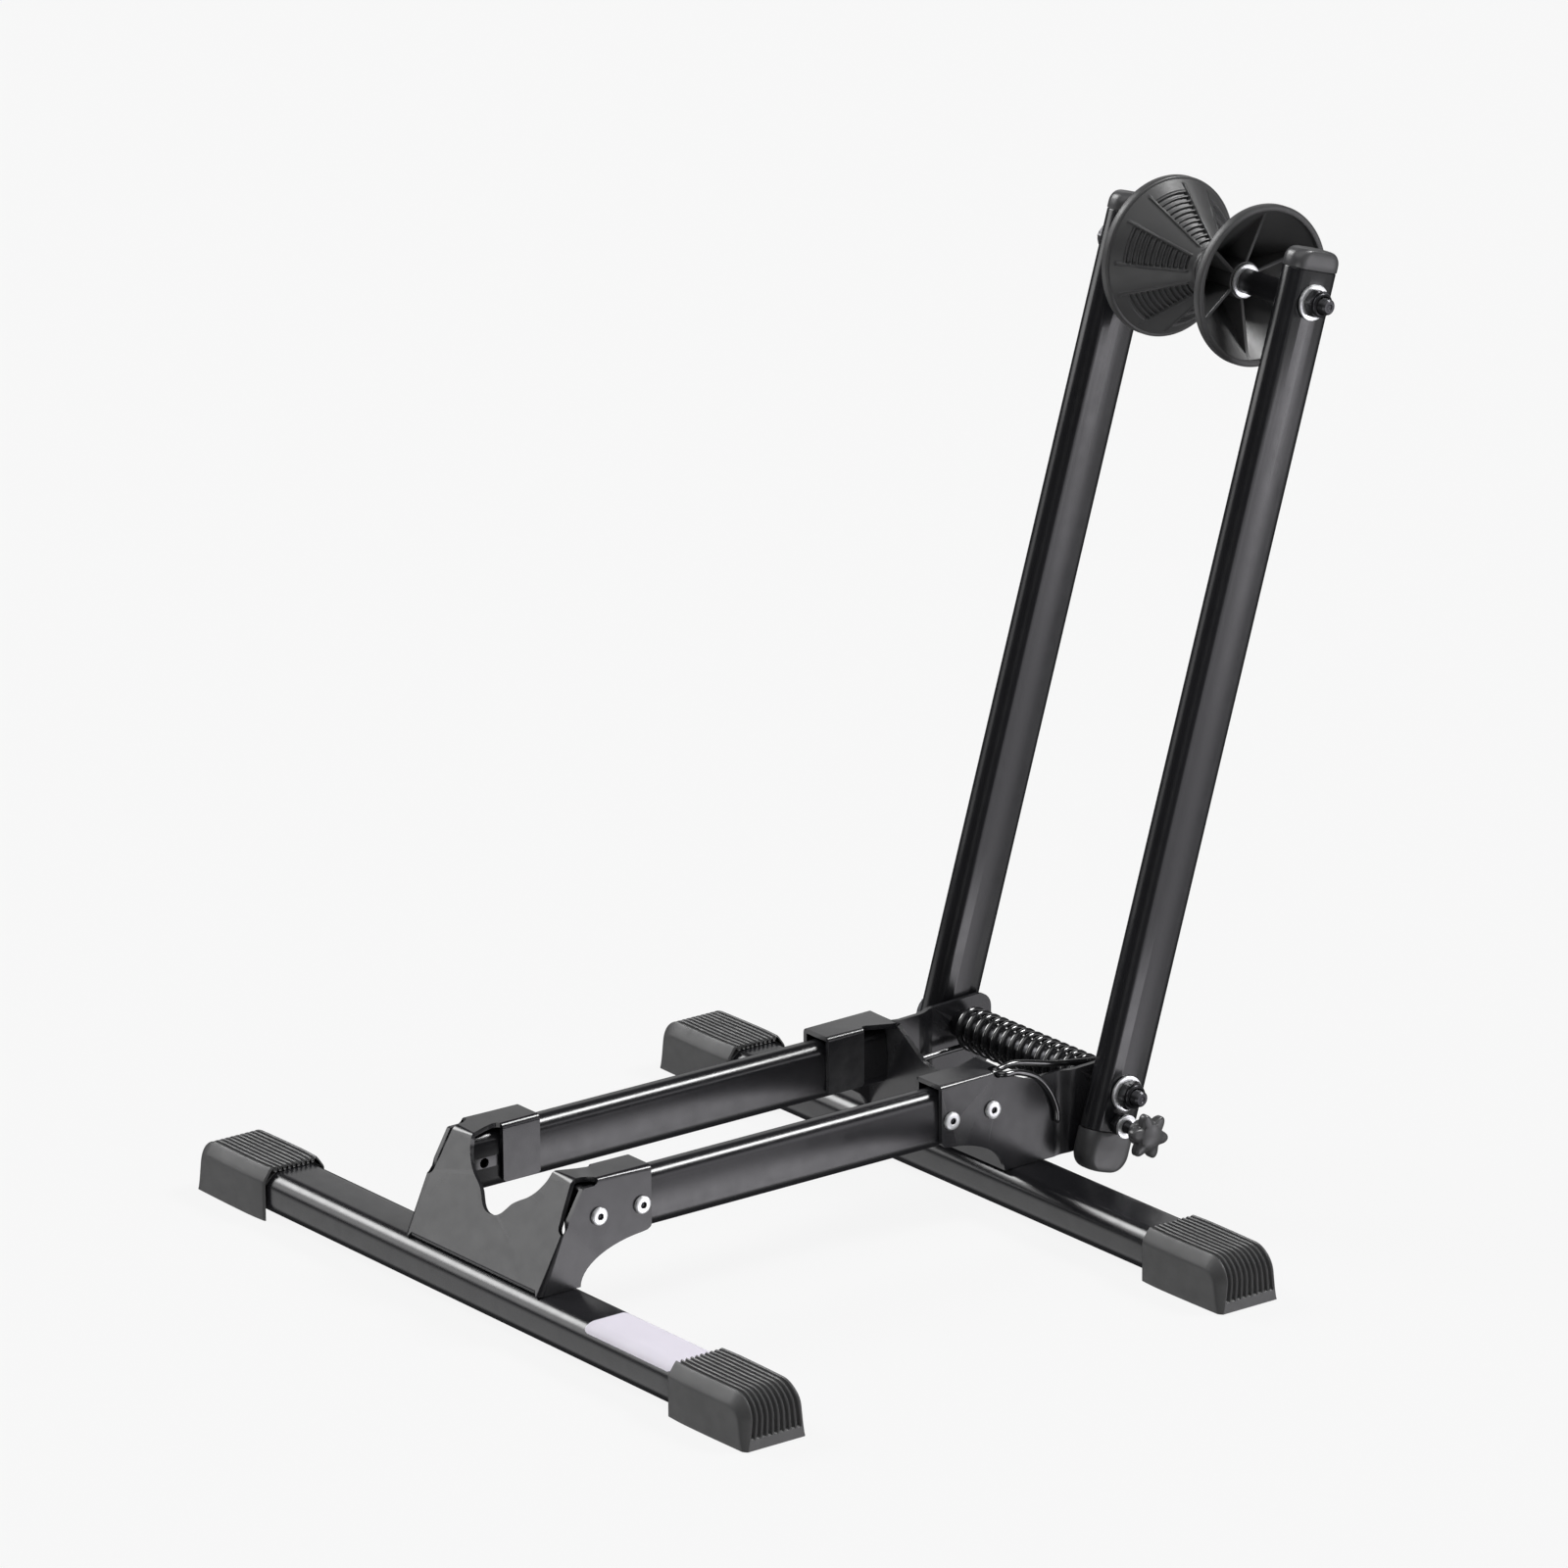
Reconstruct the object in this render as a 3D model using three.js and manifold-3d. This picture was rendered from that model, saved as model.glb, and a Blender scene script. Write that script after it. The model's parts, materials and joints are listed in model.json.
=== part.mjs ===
// Folding floor stand for a bicycle wheel: two capped crossbars joined by a pair of rails, with a pair of
// sprung arms at the rear that carry a grooved roller. Millimetres, +Z up, +Y from the front crossbar to the
// rear one, +X along the crossbars. The folded sheet brackets, the tubes and the arms take their sizes from
// the driving dimensions below.
import * as THREE from "three";
import { mergeGeometries, mergeVertices } from "three/addons/utils/BufferGeometryUtils.js";
import Module from "manifold-3d";

const wasm = await Module();
wasm.setup();

// ---------------------------------------------------------------- driving dimensions

const overallWidth = 450; // over the foot caps, along X
const crossbarSpacing = 285; // between the crossbars' centre lines, along Y
const railSpacing = 90; // between the rails' centre lines
const railHeight = 57.5; // centre line of the rails above the floor
const armReach = 399; // pivot axis to roller axis
const armLean = 16.8; // degrees that the arms lean back
const pivotDrop = 1; // pivot axis below the rails' centre line
const pivotTuck = 1; // pivot axis behind the rear crossbar: this much less than the arm tube is deep

const gap = 0.3; // clearance that two touching pieces keep
const boreClearance = 0.3; // radial clearance of a bolt or a rivet in its hole
const over = 1; // how far a cutting shape runs past the face that it cuts

const barWidth = 32; // crossbar tube, along Y
const barHeight = 22;
const barRadius = 8;
const barWall = 1.6;
const barLift = 1.8; // floor of a foot cap under the crossbar

const tubeDepth = 30; // flat-oval tube of the rails and the arms: long side
const tubeThickness = 15; // and short side
const tubeRadius = 6.5;
const tubeWall = 1.5;

const capLength = 60;
const capSideWall = 3; // at the bulge
const capTaper = 1.6; // narrower by this at both ends
const capBelly = 2; // length of the curve that starts the bulge
const capWall = 2.9; // cover over the crossbar
const capEndWall = 18; // solid rubber past the end of the crossbar
const capShoulder = 6; // radius of the long top edges
const capNose = 13; // radius of the outer end
const grooveCount = 9;
const grooveWidth = 1.7;
const grooveDepth = 1.1;
const groovePitch = 3.4;
const grooveFoot = 7; // height at which the grooves stop on the outer end

const sheet = 2.5; // bracket sheet
const insideBend = 0.5; // inside radius of the folds
const sleeveLength = 42; // how far the front bracket wraps a rail
const rearSleeveLength = 39;
const lipLength = 22; // part of the sleeve that is folded down the inner side
const lipDrop = 26; // how far that lip reaches down the rail
const flangeHeel = 12.5; // the flange covers this much of the rail below its centre line
const plateLean = 26; // degrees, front plate
const plateStep = 4; // front plate's lower edge behind the crossbar's front face
const hornInset = 6.8; // horn's outer edge inside the flange
const footLength = 24; // flange foot on the front crossbar
const notchMargin = 11.5; // tyre notch stops this far inside each rail's centre line
const notchRadius = 9.5;
const notchDepth = 29;
const notchLip = [4, 11]; // curve of the notch's flank: in from the top corner, down from the top
const notchKnee = [9, 16]; // out from the round bottom, up from its lowest point
const notchThroat = [2, 7]; // where the flank meets the round
const reliefHeight = 9; // oval relief at the bend of the front bracket
const reliefWidth = 4.4;
const slitStart = 36; // height along the plate where the corner slit starts
const webStep = 1; // the cross web stands this far behind the rear crossbar's front face
const webNotchMargin = 14; // shallow notch stops this far inside each rail's centre line
const webNotchDepth = 16;
const webNotchRise = 2; // where the notch's flanks meet its curve
const webNotchPull = 4; // control point of that curve
const earJog = 3.3; // ears stand out from the flanges
const jogGap = 3; // the step starts this far behind the rear crossbar
const jogLength = 6;
const earBehindPivot = 20;
const earAbovePivot = 13;
const earBelowPivot = 25;
const earCorner = 8;
const shoulderRun = 12; // the flange's top edge falls from the web to the ear over this length
const shoulderDrop = 2; // and starts this far below the ear's top
const legNotchRadius = 3.4;
const legSlotWidth = 6; // slot for the spring's leg inside the flange

const rivetPitch = 25.5;
const rivetMargin = 5.8; // rear rivet from the sleeve's open end
const rivetHeadRadius = 4.6;
const rivetHeadHeight = 1.5;
const rivetShankRadius = 2.4;
const rivetDimpleRadius = 1.5;
const rivetTail = 3; // past the rail's wall
const rivetCrown = [
  [0.92, 0.5],
  [0.62, 1],
]; // head outline: share of the head's radius, share of its height
const rivetDimple = [0.8, 0.4]; // dimple's floor: share of its mouth, share of the head's height

const boltRadius = 4; // M8 pivot and roller bolts
const nutAcross = 13;
const nutHeight = 6.5;
const boltHeadHeight = 5.3;
const threadEnd = 4.5; // thread past the nut
const washerRadius = 9;
const washerThickness = 1.6;
const shimThickness = 0.8; // nylon washer between ear and arm
const sleeveRadius = 6.5; // distance tube on the pivot bolt

const springRadius = 9.8; // to the middle of the wire
const springWire = 3.2;
const springTurns = 15;
const springMargin = 5; // between an ear and the first turn
const springSteps = 10; // points per turn
const anchorDrop = 4; // the short leg ends this far below the coil, behind the web
const anchorRun = 14; // and leaves the coil this far in front of the pivot
const legRun = [
  [40, -5],
  [16, 0.6],
  [5, 0.2],
]; // long leg on its way to the notch: behind the notch, above the wire's place in it
const legTurn = [
  [1.2, 1],
  [4, -0.4],
]; // its bend through the notch: outwards, behind the notch
const legHook = [
  [2, 0],
  [11, -1],
  [22, -6],
  [29.5, -14],
  [34, -24],
  [35, -32.5],
]; // its hook down the flange: behind the notch, above the wire's place in it

const armAboveRoller = 15; // tube past the roller axis
const topPlugHead = 10;
const armBelowPivot = 20.5;
const bottomPlugHead = 20.5;
const plugInsert = 12;
const topPlugInsert = 8;
const plugCrown = 4; // edge radius of a top plug's head
const bottomCrown = 10.5; // and of a bottom plug's

const rollerRadius = 40.7;
const rollerWidth = 76;
const rimWidth = 5;
const rimChamfer = 1;
const rimStep = 1.5; // height and length of the step from the cone to the rim
const waistRadius = 12;
const waistNeck = 2; // straight part at the waist
const rollerShell = 3.2;
const rollerBore = 6.2;
const hubRadius = 9.5;
const hubFoot = 6; // the hub rises out of the cone this far from the waist
const hubRecess = 14; // hub face inside the rim's plane
const webCount = 6;
const webThickness = 2.2;
const webPhase = 7.8; // degrees from the arms' direction to the first web
const webRoot = 1; // how deep a web is sunk into the hub and the cone
const webFall = 3; // a web's edge below the rim's plane
const bushRadius = 5.9;
const bushBore = 4.3;
const spacerRadius = 6.2;
const hubWasherRadius = 8.5;
const hubWasherThickness = 1.2;

const lockDrop = 15.5; // lock screw below the pivot, along the arm
const lockScrewRadius = 3; // M6
const lockNutAcross = 10;
const lockNutHeight = 5;
const lockWasherRadius = 6;
const knobRadius = 12.2;
const knobLobes = 6;
const knobSteps = 8; // points per lobe
const knobWave = 0.14; // half height of a lobe, as a share of the knob's radius
const knobSocket = 2; // the screw ends this deep in the star
const knobThickness = 6.5;
const knobHubRadius = 6.8;
const knobHubLength = 6;
const knobStandoff = 8; // free thread between lock washer and knob hub

const labelLength = 69;
const labelFromCap = 1.5;
const labelFront = 1; // label's edge behind the crossbar's front face
const labelBack = 5; // and in front of its back face
const labelThickness = 0.35;

// ---------------------------------------------------------------- sizes worked out from them

const degrees = Math.PI / 180;
const lean = armLean * degrees;
const barTop = barLift + barHeight;
const barMiddle = barLift + barHeight / 2;
const capWidth = barWidth + 2 * capSideWall;
const capEndWidth = capWidth - capTaper;
const bendRadius = sheet + insideBend;
const capHeight = barTop + capWall;
const railTop = railHeight + tubeDepth / 2;
const railInner = railSpacing / 2 - tubeThickness / 2;
const railOuter = railSpacing / 2 + tubeThickness / 2;
const sheetTop = railTop + gap + sheet;
const bracketHalf = railOuter + gap + sheet;
const lipInner = railInner - gap - sheet;
const bracketFoot = barTop + gap;
const plateSetback = barWidth / 2 - plateStep;
const notchWidth = railSpacing - 2 * notchMargin;
const webNotchWidth = railSpacing - 2 * webNotchMargin;
const plateHeight = (sheetTop - bracketFoot) / Math.cos(plateLean * degrees);
const plateTopY = -plateSetback + (sheetTop - bracketFoot) * Math.tan(plateLean * degrees);
const frontSleeveEnd = plateTopY + sleeveLength;
const webFront = crossbarSpacing - barWidth / 2 + webStep;
const rearSleeveStart = webFront - rearSleeveLength;
const legNotchY = webFront - legNotchRadius;
const pivotY = crossbarSpacing + barWidth / 2 + tubeDepth - pivotTuck;
const pivotHeight = railHeight - pivotDrop;
const earOuter = bracketHalf + earJog;
const armInner = earOuter + gap + shimThickness + gap;
const armMiddle = armInner + tubeThickness / 2;
const armOuter = armInner + tubeThickness;

// ---------------------------------------------------------------- materials

function finish(name, color, roughness, metalness) {
  return new THREE.MeshStandardMaterial({ name, color, roughness, metalness });
}

const powderCoat = () => finish("black_powder_coat", 0x17181a, 0.42, 0.35);
const capRubber = () => finish("foot_cap_rubber", 0x3a3b3c, 0.72, 0);
const plugPlastic = () => finish("plug_plastic", 0x2e2f31, 0.5, 0);
const rollerPlastic = () => finish("roller_plastic", 0x26272a, 0.55, 0);
const zinc = () => finish("zinc_plate", 0xc9ccd0, 0.3, 1);
const blackOxide = () => finish("black_oxide_steel", 0x1b1b1d, 0.38, 0.8);
const springSteel = () => finish("spring_black", 0x0e0e10, 0.25, 0.7);
const nylon = () => finish("nylon", 0xd8d6cc, 0.6, 0);
const labelFilm = () => finish("label_film", 0xe9e8ee, 0.4, 0);

// ---------------------------------------------------------------- solid helpers

function solidOf(geometry) {
  const flat = geometry.index ? geometry.toNonIndexed() : geometry;
  const bare = new THREE.BufferGeometry().setAttribute("position", flat.getAttribute("position"));
  const merged = mergeVertices(bare, 1e-4);
  return new wasm.Manifold(
    new wasm.Mesh({
      numProp: 3,
      vertProperties: new Float32Array(merged.attributes.position.array),
      triVerts: new Uint32Array(merged.index.array),
    }),
  );
}

function geometryOf(solid) {
  const mesh = solid.getMesh();
  const geometry = new THREE.BufferGeometry();
  geometry.setAttribute("position", new THREE.BufferAttribute(mesh.vertProperties, 3));
  geometry.setIndex(new THREE.BufferAttribute(mesh.triVerts, 1));
  const split = geometry.toNonIndexed();
  split.computeVertexNormals();
  return split;
}

function join(...geometries) {
  return geometryOf(geometries.map(solidOf).reduce((sum, part) => sum.add(part)));
}

function cut(base, ...tools) {
  return geometryOf(tools.map(solidOf).reduce((rest, tool) => rest.subtract(tool), solidOf(base)));
}

function common(...geometries) {
  return geometryOf(geometries.map(solidOf).reduce((rest, part) => rest.intersect(part)));
}

const axisX = new THREE.Vector3(1, 0, 0);
const axisY = new THREE.Vector3(0, 1, 0);
const axisZ = new THREE.Vector3(0, 0, 1);

function extrude(shape, depth, curveSegments = 3) {
  return new THREE.ExtrudeGeometry(shape, { depth, bevelEnabled: false, curveSegments });
}

// A shape drawn in (Y, Z), extruded along X.
function alongX(shape, from, to, curveSegments) {
  const turn = new THREE.Matrix4().makeBasis(axisY, axisZ, axisX);
  return extrude(shape, to - from, curveSegments).applyMatrix4(turn).translate(from, 0, 0);
}

// A shape drawn in (X, Z), extruded along Y.
function alongY(shape, from, to, curveSegments) {
  const turn = new THREE.Matrix4().makeBasis(axisX, axisZ, axisY.clone().negate());
  return extrude(shape, to - from, curveSegments).applyMatrix4(turn).translate(0, to, 0);
}

// A shape drawn in (X, Y), extruded along Z.
function alongZ(shape, from, to, curveSegments) {
  return extrude(shape, to - from, curveSegments).translate(0, 0, from);
}

function box(x0, x1, y0, y1, z0, z1) {
  return new THREE.BoxGeometry(x1 - x0, y1 - y0, z1 - z0).translate((x0 + x1) / 2, (y0 + y1) / 2, (z0 + z1) / 2);
}

// A round bar along X.
function rod(radius, from, to, sides = 20) {
  return new THREE.CylinderGeometry(radius, radius, to - from, sides)
    .rotateZ(-Math.PI / 2)
    .translate((from + to) / 2, 0, 0);
}

// A hexagonal bar along X.
function hexBar(across, from, to) {
  return rod(across / Math.sqrt(3), from, to, 6);
}

// A ring around X.
function ring(outer, inner, from, to, sides = 20) {
  return cut(rod(outer, from, to, sides), rod(inner, from - over, to + over, sides));
}

// A profile of [radius, x] points turned around X.
function turned(points, segments = 36) {
  const profile = points.map(([radius, x]) => new THREE.Vector2(radius, x));
  return new THREE.LatheGeometry(profile, segments).rotateZ(-Math.PI / 2);
}

function roundedPath(path, halfA, halfB, radius, a0 = 0, b0 = 0) {
  path.moveTo(a0 + halfA, b0 - halfB + radius);
  path.lineTo(a0 + halfA, b0 + halfB - radius);
  path.absarc(a0 + halfA - radius, b0 + halfB - radius, radius, 0, Math.PI / 2);
  path.lineTo(a0 - halfA + radius, b0 + halfB);
  path.absarc(a0 - halfA + radius, b0 + halfB - radius, radius, Math.PI / 2, Math.PI);
  path.lineTo(a0 - halfA, b0 - halfB + radius);
  path.absarc(a0 - halfA + radius, b0 - halfB + radius, radius, Math.PI, 1.5 * Math.PI);
  path.lineTo(a0 + halfA - radius, b0 - halfB);
  path.absarc(a0 + halfA - radius, b0 - halfB + radius, radius, 1.5 * Math.PI, 2 * Math.PI);
  return path;
}

// A rounded rectangle, grown outwards by an offset.
function roundedShape(width, height, radius, offset = 0, a0 = 0, b0 = 0) {
  return roundedPath(new THREE.Shape(), width / 2 + offset, height / 2 + offset, radius + offset, a0, b0);
}

function hollowShape(width, height, radius, wall, a0 = 0, b0 = 0) {
  const shape = roundedShape(width, height, radius, 0, a0, b0);
  shape.holes.push(roundedPath(new THREE.Path(), width / 2 - wall, height / 2 - wall, radius - wall, a0, b0));
  return shape;
}

// ---------------------------------------------------------------- scene graph

const stand = new THREE.Group();
const base = new THREE.Group();
const arms = new THREE.Group();
const roller = new THREE.Group();
stand.add(base, arms);
arms.add(roller);
arms.position.set(0, pivotY, pivotHeight);
arms.rotation.x = -lean;
roller.position.z = armReach;

function place(group, name, geometry, material) {
  const mesh = new THREE.Mesh(geometry, material);
  mesh.name = name;
  group.add(mesh);
  return mesh;
}

const sides = [
  ["left", -1],
  ["right", 1],
];

// The same geometry on the other side of the object's middle plane.
function mirrored(geometry) {
  const copy = geometry.clone().applyMatrix4(new THREE.Matrix4().makeScale(-1, 1, 1));
  const positions = copy.getAttribute("position");
  const order = copy.index ?? { count: positions.count, getX: (i) => i };
  const flipped = [];
  for (let i = 0; i < order.count; i += 3) {
    flipped.push(order.getX(i), order.getX(i + 2), order.getX(i + 1));
  }
  copy.setIndex(flipped);
  copy.computeVertexNormals();
  return copy;
}

const onSide = (geometry, side) => (side > 0 ? geometry : mirrored(geometry));

// ---------------------------------------------------------------- crossbars and foot caps

const barEnd = overallWidth / 2 - capEndWall - gap;
const capInner = overallWidth / 2 - capLength;

function crossbar() {
  const section = hollowShape(barWidth, barHeight, barRadius, barWall, 0, barMiddle);
  return alongX(section, -barEnd, barEnd);
}

function capSection() {
  const shape = new THREE.Shape();
  const half = capWidth / 2;
  shape.moveTo(-half, 0);
  shape.lineTo(half, 0);
  shape.lineTo(half, capHeight - capShoulder);
  shape.absarc(half - capShoulder, capHeight - capShoulder, capShoulder, 0, Math.PI / 2);
  shape.absarc(-half + capShoulder, capHeight - capShoulder, capShoulder, Math.PI / 2, Math.PI);
  return shape;
}

// The cap from the side, drawn in (X, Z), offset inwards by a depth.
function capProfile(depth) {
  const outer = overallWidth / 2 - depth;
  const inner = capInner - (depth > 0 ? over : 0);
  const top = capHeight - depth;
  const shape = new THREE.Shape();
  shape.moveTo(inner, 0);
  shape.lineTo(outer, 0);
  shape.lineTo(outer, top - capNose);
  shape.absarc(outer - capNose, top - capNose, capNose, 0, Math.PI / 2);
  shape.lineTo(inner, top);
  return shape;
}

function capPlan() {
  const outer = overallWidth / 2;
  const endHalf = capEndWidth / 2;
  const bulge = capInner + capLength / 4;
  const shape = new THREE.Shape();
  shape.moveTo(capInner, -endHalf);
  shape.quadraticCurveTo(capInner + capBelly, -capWidth / 2, bulge, -capWidth / 2);
  shape.lineTo(outer, -endHalf);
  shape.lineTo(outer, endHalf);
  shape.lineTo(bulge, capWidth / 2);
  shape.quadraticCurveTo(capInner + capBelly, capWidth / 2, capInner, endHalf);
  return shape;
}

// The slots along the top of a cap and down its outer end.
function capGrooves() {
  const reach = overallWidth / 2 + over;
  const band = capProfile(grooveDepth);
  const slots = [];
  for (let i = 0; i < grooveCount; i++) {
    const middle = (i - (grooveCount - 1) / 2) * groovePitch;
    const from = middle - grooveWidth / 2;
    const to = middle + grooveWidth / 2;
    const block = box(capInner - over, reach, from, to, grooveFoot, capHeight + over);
    slots.push(cut(block, alongY(band, from - over, to + over)));
  }
  return slots;
}

function footCap() {
  const body = common(
    alongX(capSection(), capInner - over, overallWidth / 2 + over),
    alongY(capProfile(0), -capWidth, capWidth),
    alongZ(capPlan(), -over, capHeight + over),
  );
  const pocket = roundedShape(barWidth, barHeight, barRadius, gap, 0, barMiddle);
  return cut(body, alongX(pocket, capInner - over, barEnd + gap), ...capGrooves());
}

const cap = footCap();
for (const [row, y] of [
  ["front", 0],
  ["rear", crossbarSpacing],
]) {
  place(base, row + "_crossbar", crossbar(), powderCoat()).position.y = y;
  for (const [name, side] of sides) {
    place(base, row + "_" + name + "_foot_cap", onSide(cap, side), capRubber()).position.y = y;
  }
}

// The blank film label, wrapped over the crossbar's top.
function label() {
  const to = capInner - labelFromCap;
  const from = to - labelLength;
  const grown = roundedShape(barWidth, barHeight, barRadius, gap + labelThickness, 0, barMiddle);
  const bare = roundedShape(barWidth, barHeight, barRadius, gap, 0, barMiddle);
  const wrap = cut(alongX(grown, from, to), alongX(bare, from - over, to + over));
  const front = labelFront - barWidth / 2;
  const back = barWidth / 2 - labelBack;
  return common(wrap, box(from - over, to + over, front, back, barMiddle, barTop + capWall));
}

place(base, "blank_label", label(), labelFilm());

// ---------------------------------------------------------------- rails

const frontRailEnd = plateTopY + sheet / Math.cos(plateLean * degrees) + gap;
const rearRailEnd = webFront - gap;
const frontRivets = [0, 1].map((i) => frontSleeveEnd - rivetMargin - i * rivetPitch);
const rearRivets = [0, 1].map((i) => rearSleeveStart + rivetMargin + i * rivetPitch);
const rivetRows = [
  ["front", frontRivets],
  ["rear", rearRivets],
];

function rivetHoles(radius, from, to) {
  return [...frontRivets, ...rearRivets].map((y) => rod(radius, from, to, 12).translate(0, y, railHeight));
}

function rail() {
  const section = hollowShape(tubeThickness, tubeDepth, tubeRadius, tubeWall, railSpacing / 2, railHeight);
  const tube = alongY(section, frontRailEnd, rearRailEnd);
  const punched = rod(rivetShankRadius, railInner - over, railSpacing / 2, 12);
  const holes = rivetHoles(rivetShankRadius + boreClearance, railSpacing / 2, bracketHalf + over);
  return cut(tube, ...holes, punched.translate(0, frontRivets[1], railHeight));
}

const railBody = rail();
for (const [name, side] of sides) {
  place(base, name + "_rail", onSide(railBody, side), powderCoat());
}

// ---------------------------------------------------------------- brackets

// The folded sheet over a rail: outer face, top and inner lip, drawn in (X, Z).
function sleeveSection(low, lipLow) {
  const shape = new THREE.Shape();
  const inside = bendRadius - sheet;
  shape.moveTo(bracketHalf, low);
  shape.lineTo(bracketHalf, sheetTop - bendRadius);
  shape.absarc(bracketHalf - bendRadius, sheetTop - bendRadius, bendRadius, 0, Math.PI / 2);
  shape.absarc(lipInner + bendRadius, sheetTop - bendRadius, bendRadius, Math.PI / 2, Math.PI);
  shape.lineTo(lipInner, lipLow);
  shape.lineTo(lipInner + sheet, lipLow);
  shape.lineTo(lipInner + sheet, sheetTop - bendRadius);
  shape.lineTo(lipInner + sheet + inside, sheetTop - sheet);
  shape.lineTo(bracketHalf - sheet - inside, sheetTop - sheet);
  shape.lineTo(bracketHalf - sheet, sheetTop - bendRadius);
  shape.lineTo(bracketHalf - sheet, low);
  return shape;
}

function frontFlange() {
  const slope = Math.tan(plateLean * degrees);
  const heel = railHeight - flangeHeel;
  const shape = new THREE.Shape();
  shape.moveTo(footLength - plateSetback, bracketFoot);
  shape.lineTo(-plateSetback, bracketFoot);
  shape.lineTo(-plateSetback + (sheetTop - bendRadius - bracketFoot) * slope, sheetTop - bendRadius);
  shape.lineTo(frontSleeveEnd, sheetTop - bendRadius);
  shape.lineTo(frontSleeveEnd, heel);
  const archWidth = frontSleeveEnd - (footLength - plateSetback);
  shape.absellipse(frontSleeveEnd, bracketFoot, archWidth, heel - bracketFoot, Math.PI / 2, Math.PI);
  return alongX(shape, bracketHalf - sheet, bracketHalf, 6);
}

// The upright plate with its tyre notch, drawn in (X, height along the plate).
function frontPlate() {
  const horn = bracketHalf - hornInset;
  const half = notchWidth / 2;
  const bottom = plateHeight - notchDepth;
  const lip = [half - notchLip[0], plateHeight - notchLip[1]];
  const knee = [notchRadius + notchKnee[0], bottom + notchKnee[1]];
  const throat = [notchRadius + notchThroat[0], bottom + notchThroat[1]];
  const shape = new THREE.Shape();
  shape.moveTo(-bracketHalf, 0);
  shape.lineTo(bracketHalf, 0);
  shape.lineTo(bracketHalf, slitStart - reliefHeight / 2);
  shape.lineTo(horn + reliefWidth / 4, slitStart);
  shape.lineTo(horn, plateHeight);
  shape.lineTo(half, plateHeight);
  shape.bezierCurveTo(...lip, ...knee, ...throat);
  shape.absarc(0, bottom + notchRadius, notchRadius, 0, -Math.PI, true);
  shape.lineTo(-throat[0], throat[1]);
  shape.bezierCurveTo(-knee[0], knee[1], -lip[0], lip[1], -half, plateHeight);
  shape.lineTo(-horn, plateHeight);
  shape.lineTo(-horn - reliefWidth / 4, slitStart);
  shape.lineTo(-bracketHalf, slitStart - reliefHeight / 2);
  return extrude(shape, sheet, 6)
    .translate(0, 0, -sheet)
    .rotateX(Math.PI / 2 - plateLean * degrees)
    .translate(0, -plateSetback, bracketFoot + sheet * Math.sin(plateLean * degrees));
}

// The oval that opens the bend at the foot of the corner slit, with the slit above it.
function cornerRelief() {
  const oval = new THREE.Shape().absellipse(0, slitStart, reliefWidth / 2, reliefHeight / 2, 0, 2 * Math.PI);
  const slit = box(-reliefWidth / 4, reliefWidth / 4, slitStart, plateHeight + sheet, -sheet, sheet);
  const opening = join(alongZ(oval, -sheet * 2, sheet * 2, 6), slit);
  return opening
    .rotateX(Math.PI / 2 - plateLean * degrees)
    .translate(bracketHalf - sheet, -plateSetback + sheet, bracketFoot);
}

function frontSleeve() {
  const whole = alongY(sleeveSection(railHeight, railTop - lipDrop), plateTopY, frontSleeveEnd);
  const lipGap = box(
    lipInner - over,
    railInner,
    plateTopY - over,
    frontSleeveEnd - lipLength,
    railHeight - tubeDepth,
    sheetTop - bendRadius,
  );
  return cut(whole, lipGap);
}

function bracketSide(parts, rivets) {
  const holes = rivets.map((y) =>
    rod(rivetShankRadius + boreClearance, bracketHalf - sheet - over, bracketHalf + over, 16).translate(
      0,
      y,
      railHeight,
    ),
  );
  return cut(join(...parts), ...holes);
}

function frontBracket() {
  const side = cut(bracketSide([frontFlange(), frontSleeve()], frontRivets), cornerRelief());
  return join(frontPlate(), side, mirrored(side));
}

place(base, "front_bracket", frontBracket(), powderCoat());

// The rear flange and its ear from the side, drawn in (Y, Z).
function rearOutline() {
  const heel = railHeight - flangeHeel;
  const earEnd = pivotY + earBehindPivot;
  const earTop = pivotHeight + earAbovePivot;
  const earLow = pivotHeight - earBelowPivot;
  const barBack = crossbarSpacing + barWidth / 2;
  const shape = new THREE.Shape();
  shape.moveTo(webFront, bracketFoot);
  shape.lineTo(barBack, bracketFoot);
  shape.lineTo(earEnd - earCorner, earLow);
  shape.quadraticCurveTo(earEnd, earLow, earEnd, earLow + earCorner);
  shape.lineTo(earEnd, earTop - earCorner);
  shape.absarc(earEnd - earCorner, earTop - earCorner, earCorner, 0, Math.PI / 2);
  shape.lineTo(webFront + sheet + shoulderRun, earTop - shoulderDrop);
  shape.lineTo(webFront + sheet, sheetTop);
  shape.lineTo(rearSleeveStart, sheetTop);
  shape.lineTo(rearSleeveStart, heel);
  const archWidth = webFront - rearSleeveStart;
  const arch = new THREE.EllipseCurve(
    rearSleeveStart,
    bracketFoot,
    archWidth,
    heel - bracketFoot,
    Math.PI / 2,
    0,
    true,
  );
  arch.getPoints(12).forEach((point) => shape.lineTo(point.x, point.y));
  return alongX(shape, railInner, earOuter + over);
}

// The flange seen from above: straight beside the rail, then stepping out to the ear.
function rearPlan() {
  const earEnd = pivotY + earBehindPivot;
  const step = crossbarSpacing + barWidth / 2 + jogGap;
  const outline = [
    [bracketHalf, rearSleeveStart - over],
    [bracketHalf, step],
    [earOuter, step + jogLength],
    [earOuter, earEnd + over],
    [earOuter - sheet, earEnd + over],
    [earOuter - sheet, step + jogLength],
    [bracketHalf - sheet, step],
    [bracketHalf - sheet, rearSleeveStart - over],
  ];
  const shape = new THREE.Shape(outline.map(([x, y]) => new THREE.Vector2(x, y)));
  return alongZ(shape, bracketFoot - over, sheetTop - bendRadius);
}

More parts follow.
